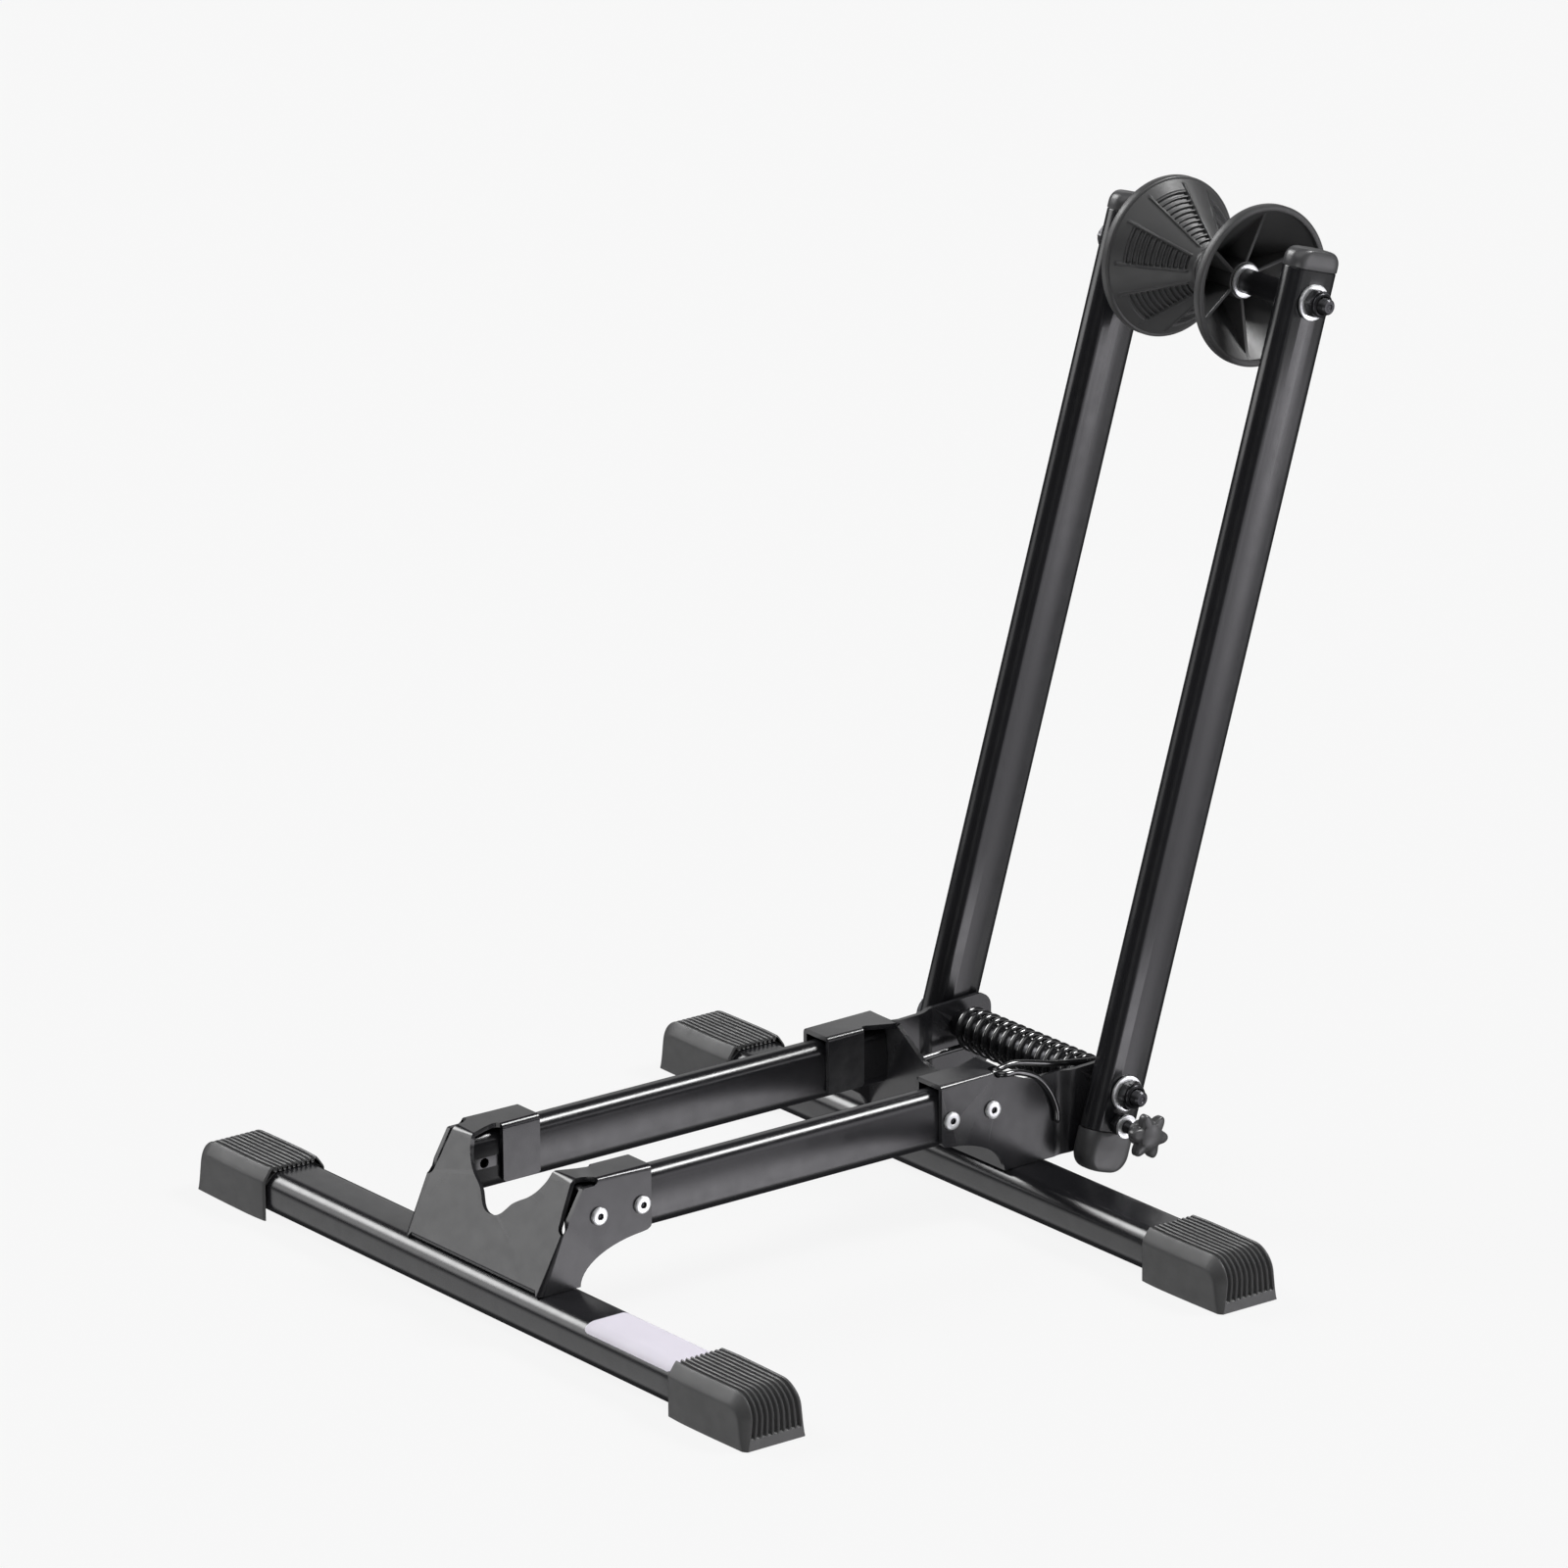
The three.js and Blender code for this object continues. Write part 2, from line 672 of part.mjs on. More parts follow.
function rearSleeve() {
  const whole = alongY(sleeveSection(railHeight, railTop - lipDrop), rearSleeveStart, webFront + sheet);
  const lipGap = box(
    lipInner - over,
    railInner,
    rearSleeveStart + lipLength,
    webFront + sheet + over,
    railHeight - tubeDepth,
    sheetTop - bendRadius,
  );
  return cut(whole, lipGap);
}

// The notch through the corner of the right-hand flange, the top fold and the web, for the spring's leg.
function legNotch() {
  const from = bracketHalf - sheet - legSlotWidth;
  const low = sheetTop - legNotchRadius;
  const through = rod(legNotchRadius, from, bracketHalf + over, 16).translate(0, legNotchY, sheetTop);
  const slot = box(from, bracketHalf + over, legNotchY, webFront + sheet + over, low, sheetTop + over);
  return join(through, slot);
}

// The cross web with its shallow tyre notch, drawn in (X, Z).
function rearWeb() {
  const half = webNotchWidth / 2;
  const low = sheetTop - webNotchDepth;
  const edge = bracketHalf - sheet / 2;
  const shape = new THREE.Shape();
  shape.moveTo(-edge, bracketFoot);
  shape.lineTo(edge, bracketFoot);
  shape.lineTo(edge, sheetTop - bendRadius);
  shape.lineTo(edge - bendRadius, sheetTop - sheet / 2);
  shape.lineTo(half, sheetTop - sheet / 2);
  shape.lineTo(half / 3, low + webNotchRise);
  shape.quadraticCurveTo(0, low - webNotchPull, -half / 3, low + webNotchRise);
  shape.lineTo(-half, sheetTop - sheet / 2);
  shape.lineTo(-edge + bendRadius, sheetTop - sheet / 2);
  shape.lineTo(-edge, sheetTop - bendRadius);
  return alongY(shape, webFront, webFront + sheet);
}

function rearBracket() {
  const flange = common(rearOutline(), rearPlan());
  const pivotHole = rod(boltRadius + boreClearance, earOuter - sheet - over, earOuter + over, 20);
  const side = bracketSide([flange, rearSleeve()], rearRivets);
  const bored = cut(side, pivotHole.translate(0, pivotY, pivotHeight));
  return cut(join(rearWeb(), bored, mirrored(bored)), legNotch());
}

place(base, "rear_bracket", rearBracket(), powderCoat());

// ---------------------------------------------------------------- rivets

// A domed rivet along X with a dimple where its stem broke off, its head on the bracket's outer face.
function rivet() {
  const face = bracketHalf + gap;
  const tail = railOuter - tubeWall - rivetTail;
  const [dimpleWidth, dimpleHeight] = rivetDimple;
  return turned(
    [
      [0, tail],
      [rivetShankRadius, tail],
      [rivetShankRadius, face],
      [rivetHeadRadius, face],
      ...rivetCrown.map(([width, height]) => [rivetHeadRadius * width, face + rivetHeadHeight * height]),
      [rivetDimpleRadius, face + rivetHeadHeight],
      [rivetDimpleRadius * dimpleWidth, face + rivetHeadHeight * dimpleHeight],
      [0, face + rivetHeadHeight * dimpleHeight],
    ],
    12,
  );
}

const rivetBody = rivet();
for (const [row, places] of rivetRows) {
  places.forEach((y, i) => {
    for (const [name, side] of sides) {
      const mesh = place(base, `${row}_${name}_rivet_${i + 1}`, onSide(rivetBody, side), zinc());
      mesh.position.set(0, y, railHeight);
    }
  });
}

// ---------------------------------------------------------------- bolts, nuts and washers

// A hex bolt along X through both arms: head on the left, thread and nut on the right.
function longBolt() {
  const seat = armOuter + gap + washerThickness + gap;
  const end = seat + nutHeight + threadEnd;
  return join(rod(boltRadius, -seat - over, end, 20), hexBar(nutAcross, -seat - boltHeadHeight, -seat));
}

function nut(across, bore, height, from) {
  const hole = rod(bore + boreClearance, from - over, from + height + over, 20);
  return cut(hexBar(across, from, from + height), hole);
}

function placeBolt(group, prefix) {
  const seat = armOuter + gap;
  const washer = ring(washerRadius, boltRadius + boreClearance, seat, seat + washerThickness);
  const nutBody = nut(nutAcross, boltRadius, nutHeight, seat + washerThickness + gap);
  const parts = [place(group, prefix + "_bolt", longBolt(), blackOxide())];
  parts.push(place(group, prefix + "_nut", nutBody, blackOxide()));
  for (const [name, side] of sides) {
    parts.push(place(group, `${prefix}_${name}_washer`, onSide(washer, side), zinc()));
  }
  return parts;
}

const pivot = new THREE.Group();
pivot.position.set(0, pivotY, pivotHeight);
base.add(pivot);
placeBolt(pivot, "pivot");
placeBolt(roller, "roller");

const shim = ring(
  washerRadius,
  boltRadius + boreClearance,
  earOuter + gap,
  earOuter + gap + shimThickness,
);
for (const [name, side] of sides) {
  place(pivot, name + "_pivot_shim", onSide(shim, side), nylon());
}
const earInner = earOuter - sheet;
place(
  pivot,
  "pivot_distance_tube",
  ring(sleeveRadius, boltRadius + boreClearance, -earInner + gap, earInner - gap, 20),
  blackOxide(),
);

// ---------------------------------------------------------------- torsion spring

// The wire's centre line around the pivot: a leg behind the web, the coil, and a leg that leaves through the
// notch in the right-hand flange and hooks down its outer face.
function springLine() {
  const reach = earInner - springMargin - springWire / 2;
  const outside = bracketHalf + gap + springWire / 2;
  const webBack = webFront + sheet + gap + springWire / 2 - pivotY;
  const notchY = legNotchY - pivotY;
  const notchZ = sheetTop - legNotchRadius + gap + springWire / 2 - pivotHeight;
  const line = [
    new THREE.Vector3(-reach, webBack, -springRadius - anchorDrop),
    new THREE.Vector3(-reach, -anchorRun, -springRadius),
  ];
  const steps = springTurns * springSteps;
  for (let i = 0; i <= steps; i++) {
    const turns = ((springTurns - 0.5) * i) / steps;
    const angle = (turns - 0.25) * 2 * Math.PI;
    const x = -reach + (2 * reach * i) / steps;
    line.push(new THREE.Vector3(x, Math.cos(angle) * springRadius, Math.sin(angle) * springRadius));
  }
  const inside = bracketHalf - sheet - springWire;
  for (const [behind, above] of legRun) {
    line.push(new THREE.Vector3(inside, notchY + behind, notchZ + above));
  }
  for (const [outwards, behind] of legTurn) {
    line.push(new THREE.Vector3(inside + outwards, notchY + behind, notchZ));
  }
  for (const [behind, above] of legHook) {
    line.push(new THREE.Vector3(outside, notchY + behind, notchZ + above));
  }
  return line;
}

function spring() {
  const line = springLine();
  const curve = new THREE.CatmullRomCurve3(line);
  const section = new THREE.Shape().absarc(0, 0, springWire / 2, 0, 2 * Math.PI);
  return new THREE.ExtrudeGeometry(section, { steps: line.length, extrudePath: curve, curveSegments: 3 });
}

place(pivot, "torsion_spring", spring(), springSteel());

// ---------------------------------------------------------------- arms and their plugs

function armTube(holeHeights) {
  const section = hollowShape(tubeThickness, tubeDepth, tubeRadius, tubeWall, armMiddle, 0);
  const tube = alongZ(section, -armBelowPivot, armReach + armAboveRoller);
  const holes = holeHeights.map(([z, radius]) =>
    rod(radius + boreClearance, armInner - over, armOuter + over, 20).translate(0, 0, z),
  );
  return cut(tube, ...holes);
}

// A moulded plug: a head that carries on the tube's outline and a spigot inside the tube.
function plug(head, depth, insert) {
  const outline = roundedShape(tubeThickness, tubeDepth, tubeRadius, 0, armMiddle, 0);
  const crownSide = new THREE.Shape();
  const half = tubeDepth / 2;
  crownSide.moveTo(-half, gap);
  crownSide.lineTo(half, gap);
  crownSide.lineTo(half, head - depth);
  crownSide.quadraticCurveTo(half, head, half - depth, head);
  crownSide.lineTo(-half + depth, head);
  crownSide.quadraticCurveTo(-half, head, -half, head - depth);
  const body = common(alongZ(outline, 0, head + over), alongX(crownSide, armInner - over, armOuter + over));
  const spigot = roundedShape(tubeThickness, tubeDepth, tubeRadius, -tubeWall - gap, armMiddle, 0);
  return join(body, alongZ(spigot, -insert, 2 * gap));
}

const boltHoles = [
  [0, boltRadius],
  [armReach, boltRadius],
];
const lockHole = [[-lockDrop, lockScrewRadius]];
const topPlug = plug(topPlugHead, plugCrown, topPlugInsert);
const bottomPlug = plug(bottomPlugHead, bottomCrown, plugInsert).rotateX(Math.PI);
const lockBore = lockScrewRadius + boreClearance;
const lockChannel = rod(lockBore, armInner - over, armOuter + over, 16).translate(0, 0, -lockDrop);

for (const [name, side] of sides) {
  const tube = armTube(side > 0 ? [...boltHoles, ...lockHole] : boltHoles);
  place(arms, name + "_arm", onSide(tube, side), powderCoat());
  place(arms, name + "_arm_top_plug", onSide(topPlug, side), plugPlastic()).position.z = armReach + armAboveRoller;
  const lower = bottomPlug.clone().translate(0, 0, -armBelowPivot);
  place(arms, name + "_arm_bottom_plug", onSide(side > 0 ? cut(lower, lockChannel) : lower, side), plugPlastic());
}

// ---------------------------------------------------------------- roller

// One half of the roller: a hollow cone with a rim, a hub and radial webs in its open outer face.
function rollerHalf() {
  const outer = rollerWidth / 2;
  const rimStart = outer - rimWidth;
  const inner = gap / 2;
  const hubEnd = outer - hubRecess;
  const innerRadius = rollerRadius - rollerShell;
  const body = turned(
    [
      [rollerBore, inner],
      [waistRadius, inner],
      [waistRadius, inner + waistNeck],
      [rollerRadius - rimStep, rimStart],
      [rollerRadius, rimStart + rimChamfer],
      [rollerRadius, outer - rimChamfer],
      [rollerRadius - rimChamfer, outer],
      [innerRadius, outer],
      [innerRadius, rimStart + rimStep],
      [hubRadius, inner + hubFoot],
      [hubRadius, hubEnd],
      [rollerBore, hubEnd],
      [rollerBore, inner],
    ],
    32,
  );
  const rib = new THREE.Shape();
  rib.moveTo(inner + hubFoot - webRoot, hubRadius - webRoot);
  rib.lineTo(hubEnd, hubRadius - webRoot);
  rib.lineTo(outer - webFall, innerRadius + webRoot);
  rib.lineTo(rimStart, innerRadius + webRoot / 2);
  rib.lineTo(inner + hubFoot - 2 * webRoot, hubRadius + webRoot);
  const web = alongY(rib, -webThickness / 2, webThickness / 2);
  const webs = [];
  for (let i = 0; i < webCount; i++) {
    webs.push(web.clone().rotateX(((360 / webCount) * i + webPhase) * degrees));
  }
  return join(body, ...webs);
}

const halfRoller = rollerHalf();
const hubFace = rollerWidth / 2 - hubRecess;
const hubWasherEnd = hubFace + gap + hubWasherThickness;
const hubWasher = ring(hubWasherRadius, boltRadius + boreClearance, hubFace + gap, hubWasherEnd);
const spacerFrom = hubWasherEnd + gap;
const spacer = ring(spacerRadius, boltRadius + boreClearance, spacerFrom, armInner - gap, 20);
for (const [name, side] of sides) {
  place(roller, name + "_roller_half", onSide(halfRoller, side), rollerPlastic());
  place(roller, name + "_hub_washer", onSide(hubWasher, side), zinc());
  place(roller, name + "_roller_spacer", onSide(spacer, side), blackOxide());
}
place(roller, "roller_bush", ring(bushRadius, bushBore, -hubFace, hubFace, 20), nylon());

// ---------------------------------------------------------------- lock screw and knob

const lock = new THREE.Group();
lock.position.z = -lockDrop;
arms.add(lock);

const lockNutFrom = armOuter + gap;
const lockWasherFrom = lockNutFrom + lockNutHeight + gap;
const lockWasherEnd = lockWasherFrom + washerThickness;
const knobFrom = lockWasherEnd + knobStandoff;

// The star head: lobes around a hub, along X.
function knob() {
  const steps = knobLobes * knobSteps;
  const outline = [];
  for (let i = 0; i < steps; i++) {
    const angle = (i / steps) * 2 * Math.PI;
    const radius = knobRadius * (1 - knobWave + knobWave * Math.cos(knobLobes * angle));
    outline.push(new THREE.Vector2(radius * Math.cos(angle), radius * Math.sin(angle)));
  }
  const hubEnd = knobFrom + knobHubLength;
  const head = alongX(new THREE.Shape(outline), hubEnd, hubEnd + knobThickness);
  const socket = rod(lockScrewRadius + boreClearance, knobFrom - over, hubEnd + knobSocket, 16);
  return cut(join(head, rod(knobHubRadius, knobFrom, hubEnd + over, 20)), socket);
}

const lockTip = earOuter + gap;
const lockScrewEnd = knobFrom + knobHubLength + knobSocket - gap;
place(lock, "lock_screw", rod(lockScrewRadius, lockTip, lockScrewEnd, 16), blackOxide());
place(lock, "lock_nut", nut(lockNutAcross, lockScrewRadius, lockNutHeight, lockNutFrom), blackOxide());
place(
  lock,
  "lock_washer",
  ring(lockWasherRadius, lockScrewRadius + boreClearance, lockWasherFrom, lockWasherEnd, 20),
  zinc(),
);
place(lock, "lock_knob", knob(), plugPlastic());

// ---------------------------------------------------------------- origin at the middle of the floor area

stand.updateMatrixWorld(true);
const bounds = new THREE.Box3().setFromObject(stand, true);
stand.position.set(0, -(bounds.min.y + bounds.max.y) / 2, -bounds.min.z);

export default stand;
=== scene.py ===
# Folding floor stand for a bicycle wheel, in its finished materials.
# Shapes are written in millimetres in the stand's own frame, whose Y starts at the middle of the front
# crossbar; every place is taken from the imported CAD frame.
import json
import math

import bmesh
import bpy
import numpy as np
from mathutils import Matrix, Vector


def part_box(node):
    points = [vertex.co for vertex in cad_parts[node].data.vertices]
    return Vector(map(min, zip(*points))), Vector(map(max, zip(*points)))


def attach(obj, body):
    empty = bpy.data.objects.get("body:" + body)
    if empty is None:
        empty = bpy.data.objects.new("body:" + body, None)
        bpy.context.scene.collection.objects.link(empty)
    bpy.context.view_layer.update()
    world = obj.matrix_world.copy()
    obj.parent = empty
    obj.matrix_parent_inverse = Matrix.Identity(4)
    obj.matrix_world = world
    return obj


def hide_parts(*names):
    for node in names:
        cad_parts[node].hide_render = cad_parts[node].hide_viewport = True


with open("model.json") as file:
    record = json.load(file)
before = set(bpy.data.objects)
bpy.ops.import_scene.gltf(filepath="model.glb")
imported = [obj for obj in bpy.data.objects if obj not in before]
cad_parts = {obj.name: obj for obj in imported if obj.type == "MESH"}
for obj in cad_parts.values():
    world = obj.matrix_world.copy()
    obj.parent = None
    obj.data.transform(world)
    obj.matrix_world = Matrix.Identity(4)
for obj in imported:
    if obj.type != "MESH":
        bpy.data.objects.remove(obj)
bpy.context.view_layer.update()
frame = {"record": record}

MM = 0.001
RECORD = frame["record"]
BODY_OF = {n: b for b, nodes in RECORD["behaviour"]["bodies"].items() for n in nodes}
JOINTS = {j["name"]: j for j in RECORD["behaviour"]["joints"]}

# -------- places taken from the frame


def edges(node):
    """Lowest and highest corner of a CAD node in millimetres."""
    low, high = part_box(node)
    return np.array(low) / MM, np.array(high) / MM


def ends(node):
    """Where a CAD node starts and ends along X, in millimetres."""
    low, high = edges(node)
    return low[0], high[0]


bar_low, bar_high = edges("front_crossbar")
origin_y = (bar_low[1] + bar_high[1]) / 2
rear_low, rear_high = edges("rear_crossbar")
crossbar_spacing = (rear_low[1] + rear_high[1]) / 2 - origin_y
bar_end = bar_high[0]
bar_mid_z = (bar_low[2] + bar_high[2]) / 2
bar_half_y = (bar_high[1] - bar_low[1]) / 2
bar_half_z = (bar_high[2] - bar_low[2]) / 2

cap_low, cap_high = edges("front_right_foot_cap")
cap_inner, cap_outer, cap_top = cap_low[0], cap_high[0], cap_high[2]
cap_half = (cap_high[1] - cap_low[1]) / 2

rail_low, rail_high = edges("right_rail")
rail_x = (rail_low[0] + rail_high[0]) / 2
rail_z = (rail_low[2] + rail_high[2]) / 2
rail_from, rail_to = rail_low[1] - origin_y, rail_high[1] - origin_y
tube_half_x = (rail_high[0] - rail_low[0]) / 2
tube_half_y = (rail_high[2] - rail_low[2]) / 2

front_low, front_high = edges("front_bracket")
sheet_top = front_high[2]
sheet_side = front_high[0]
sheet_foot = front_low[2]
sleeve_end = front_high[1] - origin_y
back_low, back_high = edges("rear_bracket")
sleeve_start = back_low[1] - origin_y
ear_side = back_high[0]
ear_end = back_high[1] - origin_y

pivot = np.array(JOINTS["arm_fold"]["pos_m"]) / MM - (0, origin_y, 0)
axle = np.array(JOINTS["roller_spin"]["pos_m"]) / MM - (0, origin_y, 0)
lock = np.array(JOINTS["lock_turn"]["pos_m"]) / MM - (0, origin_y, 0)
arm_reach = math.hypot(*(axle - pivot)[1:])
lean = math.atan2(axle[1] - pivot[1], axle[2] - pivot[2])
lock_drop = math.hypot(*(lock - pivot)[1:])
gap = 0.3
arm_inner = ends("right_pivot_shim")[1] + gap
arm_outer = ends("pivot_right_washer")[0] - gap
arm_x = (arm_inner + arm_outer) / 2
roller_half_low, roller_half_high = edges("right_roller_half")

STAND = Matrix.Diagonal((MM, MM, MM, 1)) @ Matrix.Translation((0, origin_y, 0))
PIVOT = STAND @ Matrix.Translation(Vector(pivot))
ARMS = PIVOT @ Matrix.Rotation(-lean, 4, "X")
AXLE = ARMS @ Matrix.Translation((0, 0, arm_reach))
LOCK = ARMS @ Matrix.Translation((0, 0, -lock_drop))
SIDES = (("left", -1), ("right", 1))
ROWS = (("front", 0.0), ("rear", crossbar_spacing))

# -------- sizes of the finished shapes

tube_radius = 6.5
tube_wall = 1.5
tube_crown = 0.45
bar_radius = 8.0
bar_wall = 1.6
sheet = 2.5
front_bend = 2.9
rear_bend = 2.6
lip_inner = 34.7
lip_length = 22.0
lip_low = 46.5
flange_heel = 45.0
plate_lean = math.radians(26)
plate_y = -12.0
plate_height = (sheet_top - sheet_foot) / math.cos(plate_lean)
plate_top_y = plate_y + (sheet_top - sheet_foot) * math.tan(plate_lean)
web_y = 272.5
rivet_pitch = 25.5
rivet_margin = 5.8
bolt_radius = 4.0
bolt_bore = 4.3
lock_bore = 3.3
washer_radius = 9.0

# -------- materials

PATCHES = 14.0
GRAIN_DEPTH = 0.0002


def feed(tree, shader, inputs):
    """Gives inputs their values, or joins them to another node's output."""
    for key, value in inputs.items():
        if isinstance(value, bpy.types.NodeSocket):
            tree.links.new(value, shader.inputs[key])
        else:
            shader.inputs[key].default_value = value


def add(tree, kind, inputs=None, **settings):
    """A new shader node."""
    made = tree.nodes.new("ShaderNode" + kind)
    for key, value in settings.items():
        setattr(made, key, value)
    feed(tree, made, inputs or {})
    return made


def new_material(name):
    material = bpy.data.materials.new(name)
    material.use_nodes = True
    return material, material.node_tree


def node_material(name, base, roughness, metallic=0.0, specular=0.5, coat=0.0, grain=900.0, bump=0.02,
                  mottle=0.12, wear=None):
    """A surface with drifting tone, drifting gloss and a fine grain; wear is the tone of its rubbed edges."""
    material, tree = new_material(name)
    place = add(tree, "TexCoord").outputs["Object"]

    def noise(scale, detail):
        return add(tree, "TexNoise", {"Vector": place, "Scale": scale, "Detail": detail}).outputs["Fac"]

    tone = add(tree, "ValToRGB", {"Fac": noise(PATCHES, 5.0)})
    for element, (position, share) in enumerate(((0.3, 1 - mottle), (0.7, 1 + mottle))):
        tone.color_ramp.elements[element].position = position
        tone.color_ramp.elements[element].color = (*[c * share for c in base], 1)
    fine = noise(PATCHES * 9, 3.0)
    gloss = add(tree, "MapRange", {"Value": fine, "From Min": 0.3, "From Max": 0.7,
                                   "To Min": roughness * 0.9, "To Max": roughness * 1.12})
    relief = add(tree, "Bump", {"Strength": bump, "Distance": GRAIN_DEPTH, "Height": noise(grain, 2.0)})
    colour = tone.outputs["Color"]
    if wear:
        pointiness = add(tree, "NewGeometry").outputs["Pointiness"]
        edge = add(tree, "MapRange", {"Value": pointiness, "From Min": 0.56, "From Max": 0.66})
        broken = add(tree, "Math", {0: edge.outputs["Result"], 1: fine}, operation="MULTIPLY")
        mix = add(tree, "Mix", data_type="RGBA")
        feed(tree, mix, {"Factor": broken.outputs["Value"], 6: colour, 7: (*wear, 1)})
        colour = mix.outputs[2]
    feed(tree, tree.nodes["Principled BSDF"], {
        "Base Color": colour, "Roughness": gloss.outputs["Result"], "Normal": relief.outputs["Normal"],
        "Metallic": metallic, "Specular IOR Level": specular, "Coat Weight": coat, "Coat Roughness": 0.12,
    })
    return material


FINISH = {
    "black_powder_coat": node_material(
        "powder_coat", (0.010, 0.010, 0.0115), 0.24, grain=1500.0, bump=0.06, wear=(0.05, 0.05, 0.052)),
    "foot_cap_rubber": node_material(
        "cap_rubber", (0.05, 0.05, 0.051), 0.46, specular=0.45, grain=2600.0, bump=0.12, mottle=0.16,
        wear=(0.12, 0.12, 0.12)),
    "plug_plastic": node_material("plug", (0.055, 0.055, 0.057), 0.34, grain=2200.0, bump=0.08),
    "roller_plastic": node_material(
        "roller", (0.04, 0.04, 0.041), 0.42, grain=1800.0, bump=0.1, wear=(0.08, 0.08, 0.082)),
    "zinc_plate": node_material("zinc", (0.86, 0.87, 0.88), 0.34, metallic=0.85, grain=3000.0, bump=0.05),
    "black_oxide_steel": node_material(
        "black_oxide", (0.03, 0.03, 0.033), 0.33, metallic=0.75, grain=2600.0, bump=0.06, wear=(0.2, 0.2, 0.21)),
    "spring_black": node_material(
        "spring_lacquer", (0.012, 0.012, 0.013), 0.13, coat=1.0, grain=1400.0, bump=0.03),
    "nylon": node_material("nylon", (0.62, 0.61, 0.56), 0.5, grain=2400.0, bump=0.06),
    "label_film": node_material("label", (0.58, 0.555, 0.62), 0.5, specular=0.2, grain=500.0, mottle=0.05),
}

# -------- mesh helpers

SMOOTH = math.radians(32)
NODE_SLOT = {part["node"]: part["material_slot"] for part in RECORD["subparts"]}


def linked(name, mesh):
    obj = bpy.data.objects.new(name, mesh)
    bpy.context.scene.collection.objects.link(obj)
    return obj


def solid(name, points, faces, matrix=STAND):
    """An object of the points and faces, with doubled points joined and all faces turned outwards."""
    mesh = bpy.data.meshes.new(name)
    mesh.from_pydata([tuple(p) for p in points], [], faces)
    mesh.transform(matrix)
    bm = bmesh.new()
    bm.from_mesh(mesh)
    bmesh.ops.remove_doubles(bm, verts=bm.verts, dist=1e-6)
    bmesh.ops.recalc_face_normals(bm, faces=bm.faces)
    bm.to_mesh(mesh)
    bm.free()
    return linked(name, mesh)


def dress(obj, node, angle=SMOOTH):
    """Puts the object in the place of a CAD node, in the finish and on the body of that node."""
    obj.data.materials.clear()
    obj.data.materials.append(FINISH[NODE_SLOT[node]])
    obj.data.polygons.foreach_set("use_smooth", [True] * len(obj.data.polygons))
    obj.data.set_sharp_from_angle(angle=angle)
    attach(obj, BODY_OF[node])
    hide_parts(node)


def piece(name, points, faces, node, matrix=STAND, angle=SMOOTH):
    obj = solid(name, points, faces, matrix)
    dress(obj, node, angle)
    return obj


def modify(obj, kind, **settings):
    """Adds a modifier and makes its result the mesh."""
    modifier = obj.modifiers.new(kind.lower(), kind)
    for key, value in settings.items():
        setattr(modifier, key, value)
    bpy.context.view_layer.update()
    graph = bpy.context.evaluated_depsgraph_get()
    mesh = bpy.data.meshes.new_from_object(obj.evaluated_get(graph))
    obj.modifiers.clear()
    obj.data = mesh


def carve(obj, *tools):
    """Cuts the tools out of the object, then removes the tools."""
    for tool in tools:
        modify(obj, "BOOLEAN", operation="DIFFERENCE", solver="EXACT", object=tool)
        bpy.data.objects.remove(tool)


def arc(cx, cy, radius, start, end, steps, rise=None):
    """Points on an arc, in degrees; rise is the other half axis of an ellipse."""
    rise = radius if rise is None else rise
    angles = np.radians(np.linspace(start, end, steps + 1))
    return [(cx + radius * math.cos(a), cy + rise * math.sin(a)) for a in angles]


def rounded(half_a, half_b, radius, steps=8):
    """A rounded rectangle, anticlockwise, without a repeated point."""
    a, b = half_a - radius, half_b - radius
    corners = [(a, b, 0), (-a, b, 90), (-a, -b, 180), (a, -b, 270)]
    return [p for ca, cb, start in corners for p in arc(ca, cb, radius, start, start + 90, steps)]


def crowned(half_a, half_b, radius, steps, flats=12):
    """A rounded rectangle whose long sides along b belly out a little in the middle."""
    edge = half_b - radius
    line = []
    for a, b in rounded(half_a, half_b, radius, steps):
        share = min(1.0, abs(b) / edge)
        line.append((a - math.copysign(tube_crown * share**2, a), b))
    dense = []
    for i, (a, b) in enumerate(line):
        dense.append((a, b))
        d = line[(i + 1) % len(line)][1]
        if abs(d - b) > edge:
            for y in np.linspace(b, d, flats + 1)[1:-1]:
                dense.append((math.copysign(half_a - tube_crown * (y / edge) ** 2, a), y))
    return dense


def tube_lines(steps):
    """Outer and inner outline of the flat-oval tube."""
    inset = [size - tube_wall for size in (tube_half_x, tube_half_y, tube_radius)]
    return crowned(tube_half_x, tube_half_y, tube_radius, steps), crowned(*inset, steps)


def spline(points, steps=6):
    """A smooth line through the points."""
    points = [np.array(p, float) for p in points]
    padded = [2 * points[0] - points[1], *points, 2 * points[-1] - points[-2]]
    line = []
    for i in range(1, len(padded) - 2):
        p0, p1, p2, p3 = padded[i - 1 : i + 3]
        for t in np.arange(steps) / steps:
            line.append(
                0.5 * (2 * p1 + (p2 - p0) * t + (2 * p0 - 5 * p1 + 4 * p2 - p3) * t**2
                       + (3 * p1 - p0 - 3 * p2 + p3) * t**3)
            )
    return [tuple(p) for p in [*line, points[-1]]]


def strips(rings, closed=True, caps=False):
    """Faces between rings that each hold the same number of points."""
    count = len(rings[0])
    faces = []
    for i in range(len(rings) - 1):
        for j in range(count if closed else count - 1):
            k = (j + 1) % count
            faces.append((i * count + j, i * count + k, (i + 1) * count + k, (i + 1) * count + j))
    if caps:
        faces.append(tuple(range(count)))
        faces.append(tuple((len(rings) - 1) * count + j for j in reversed(range(count))))
    return [p for ring in rings for p in ring], faces


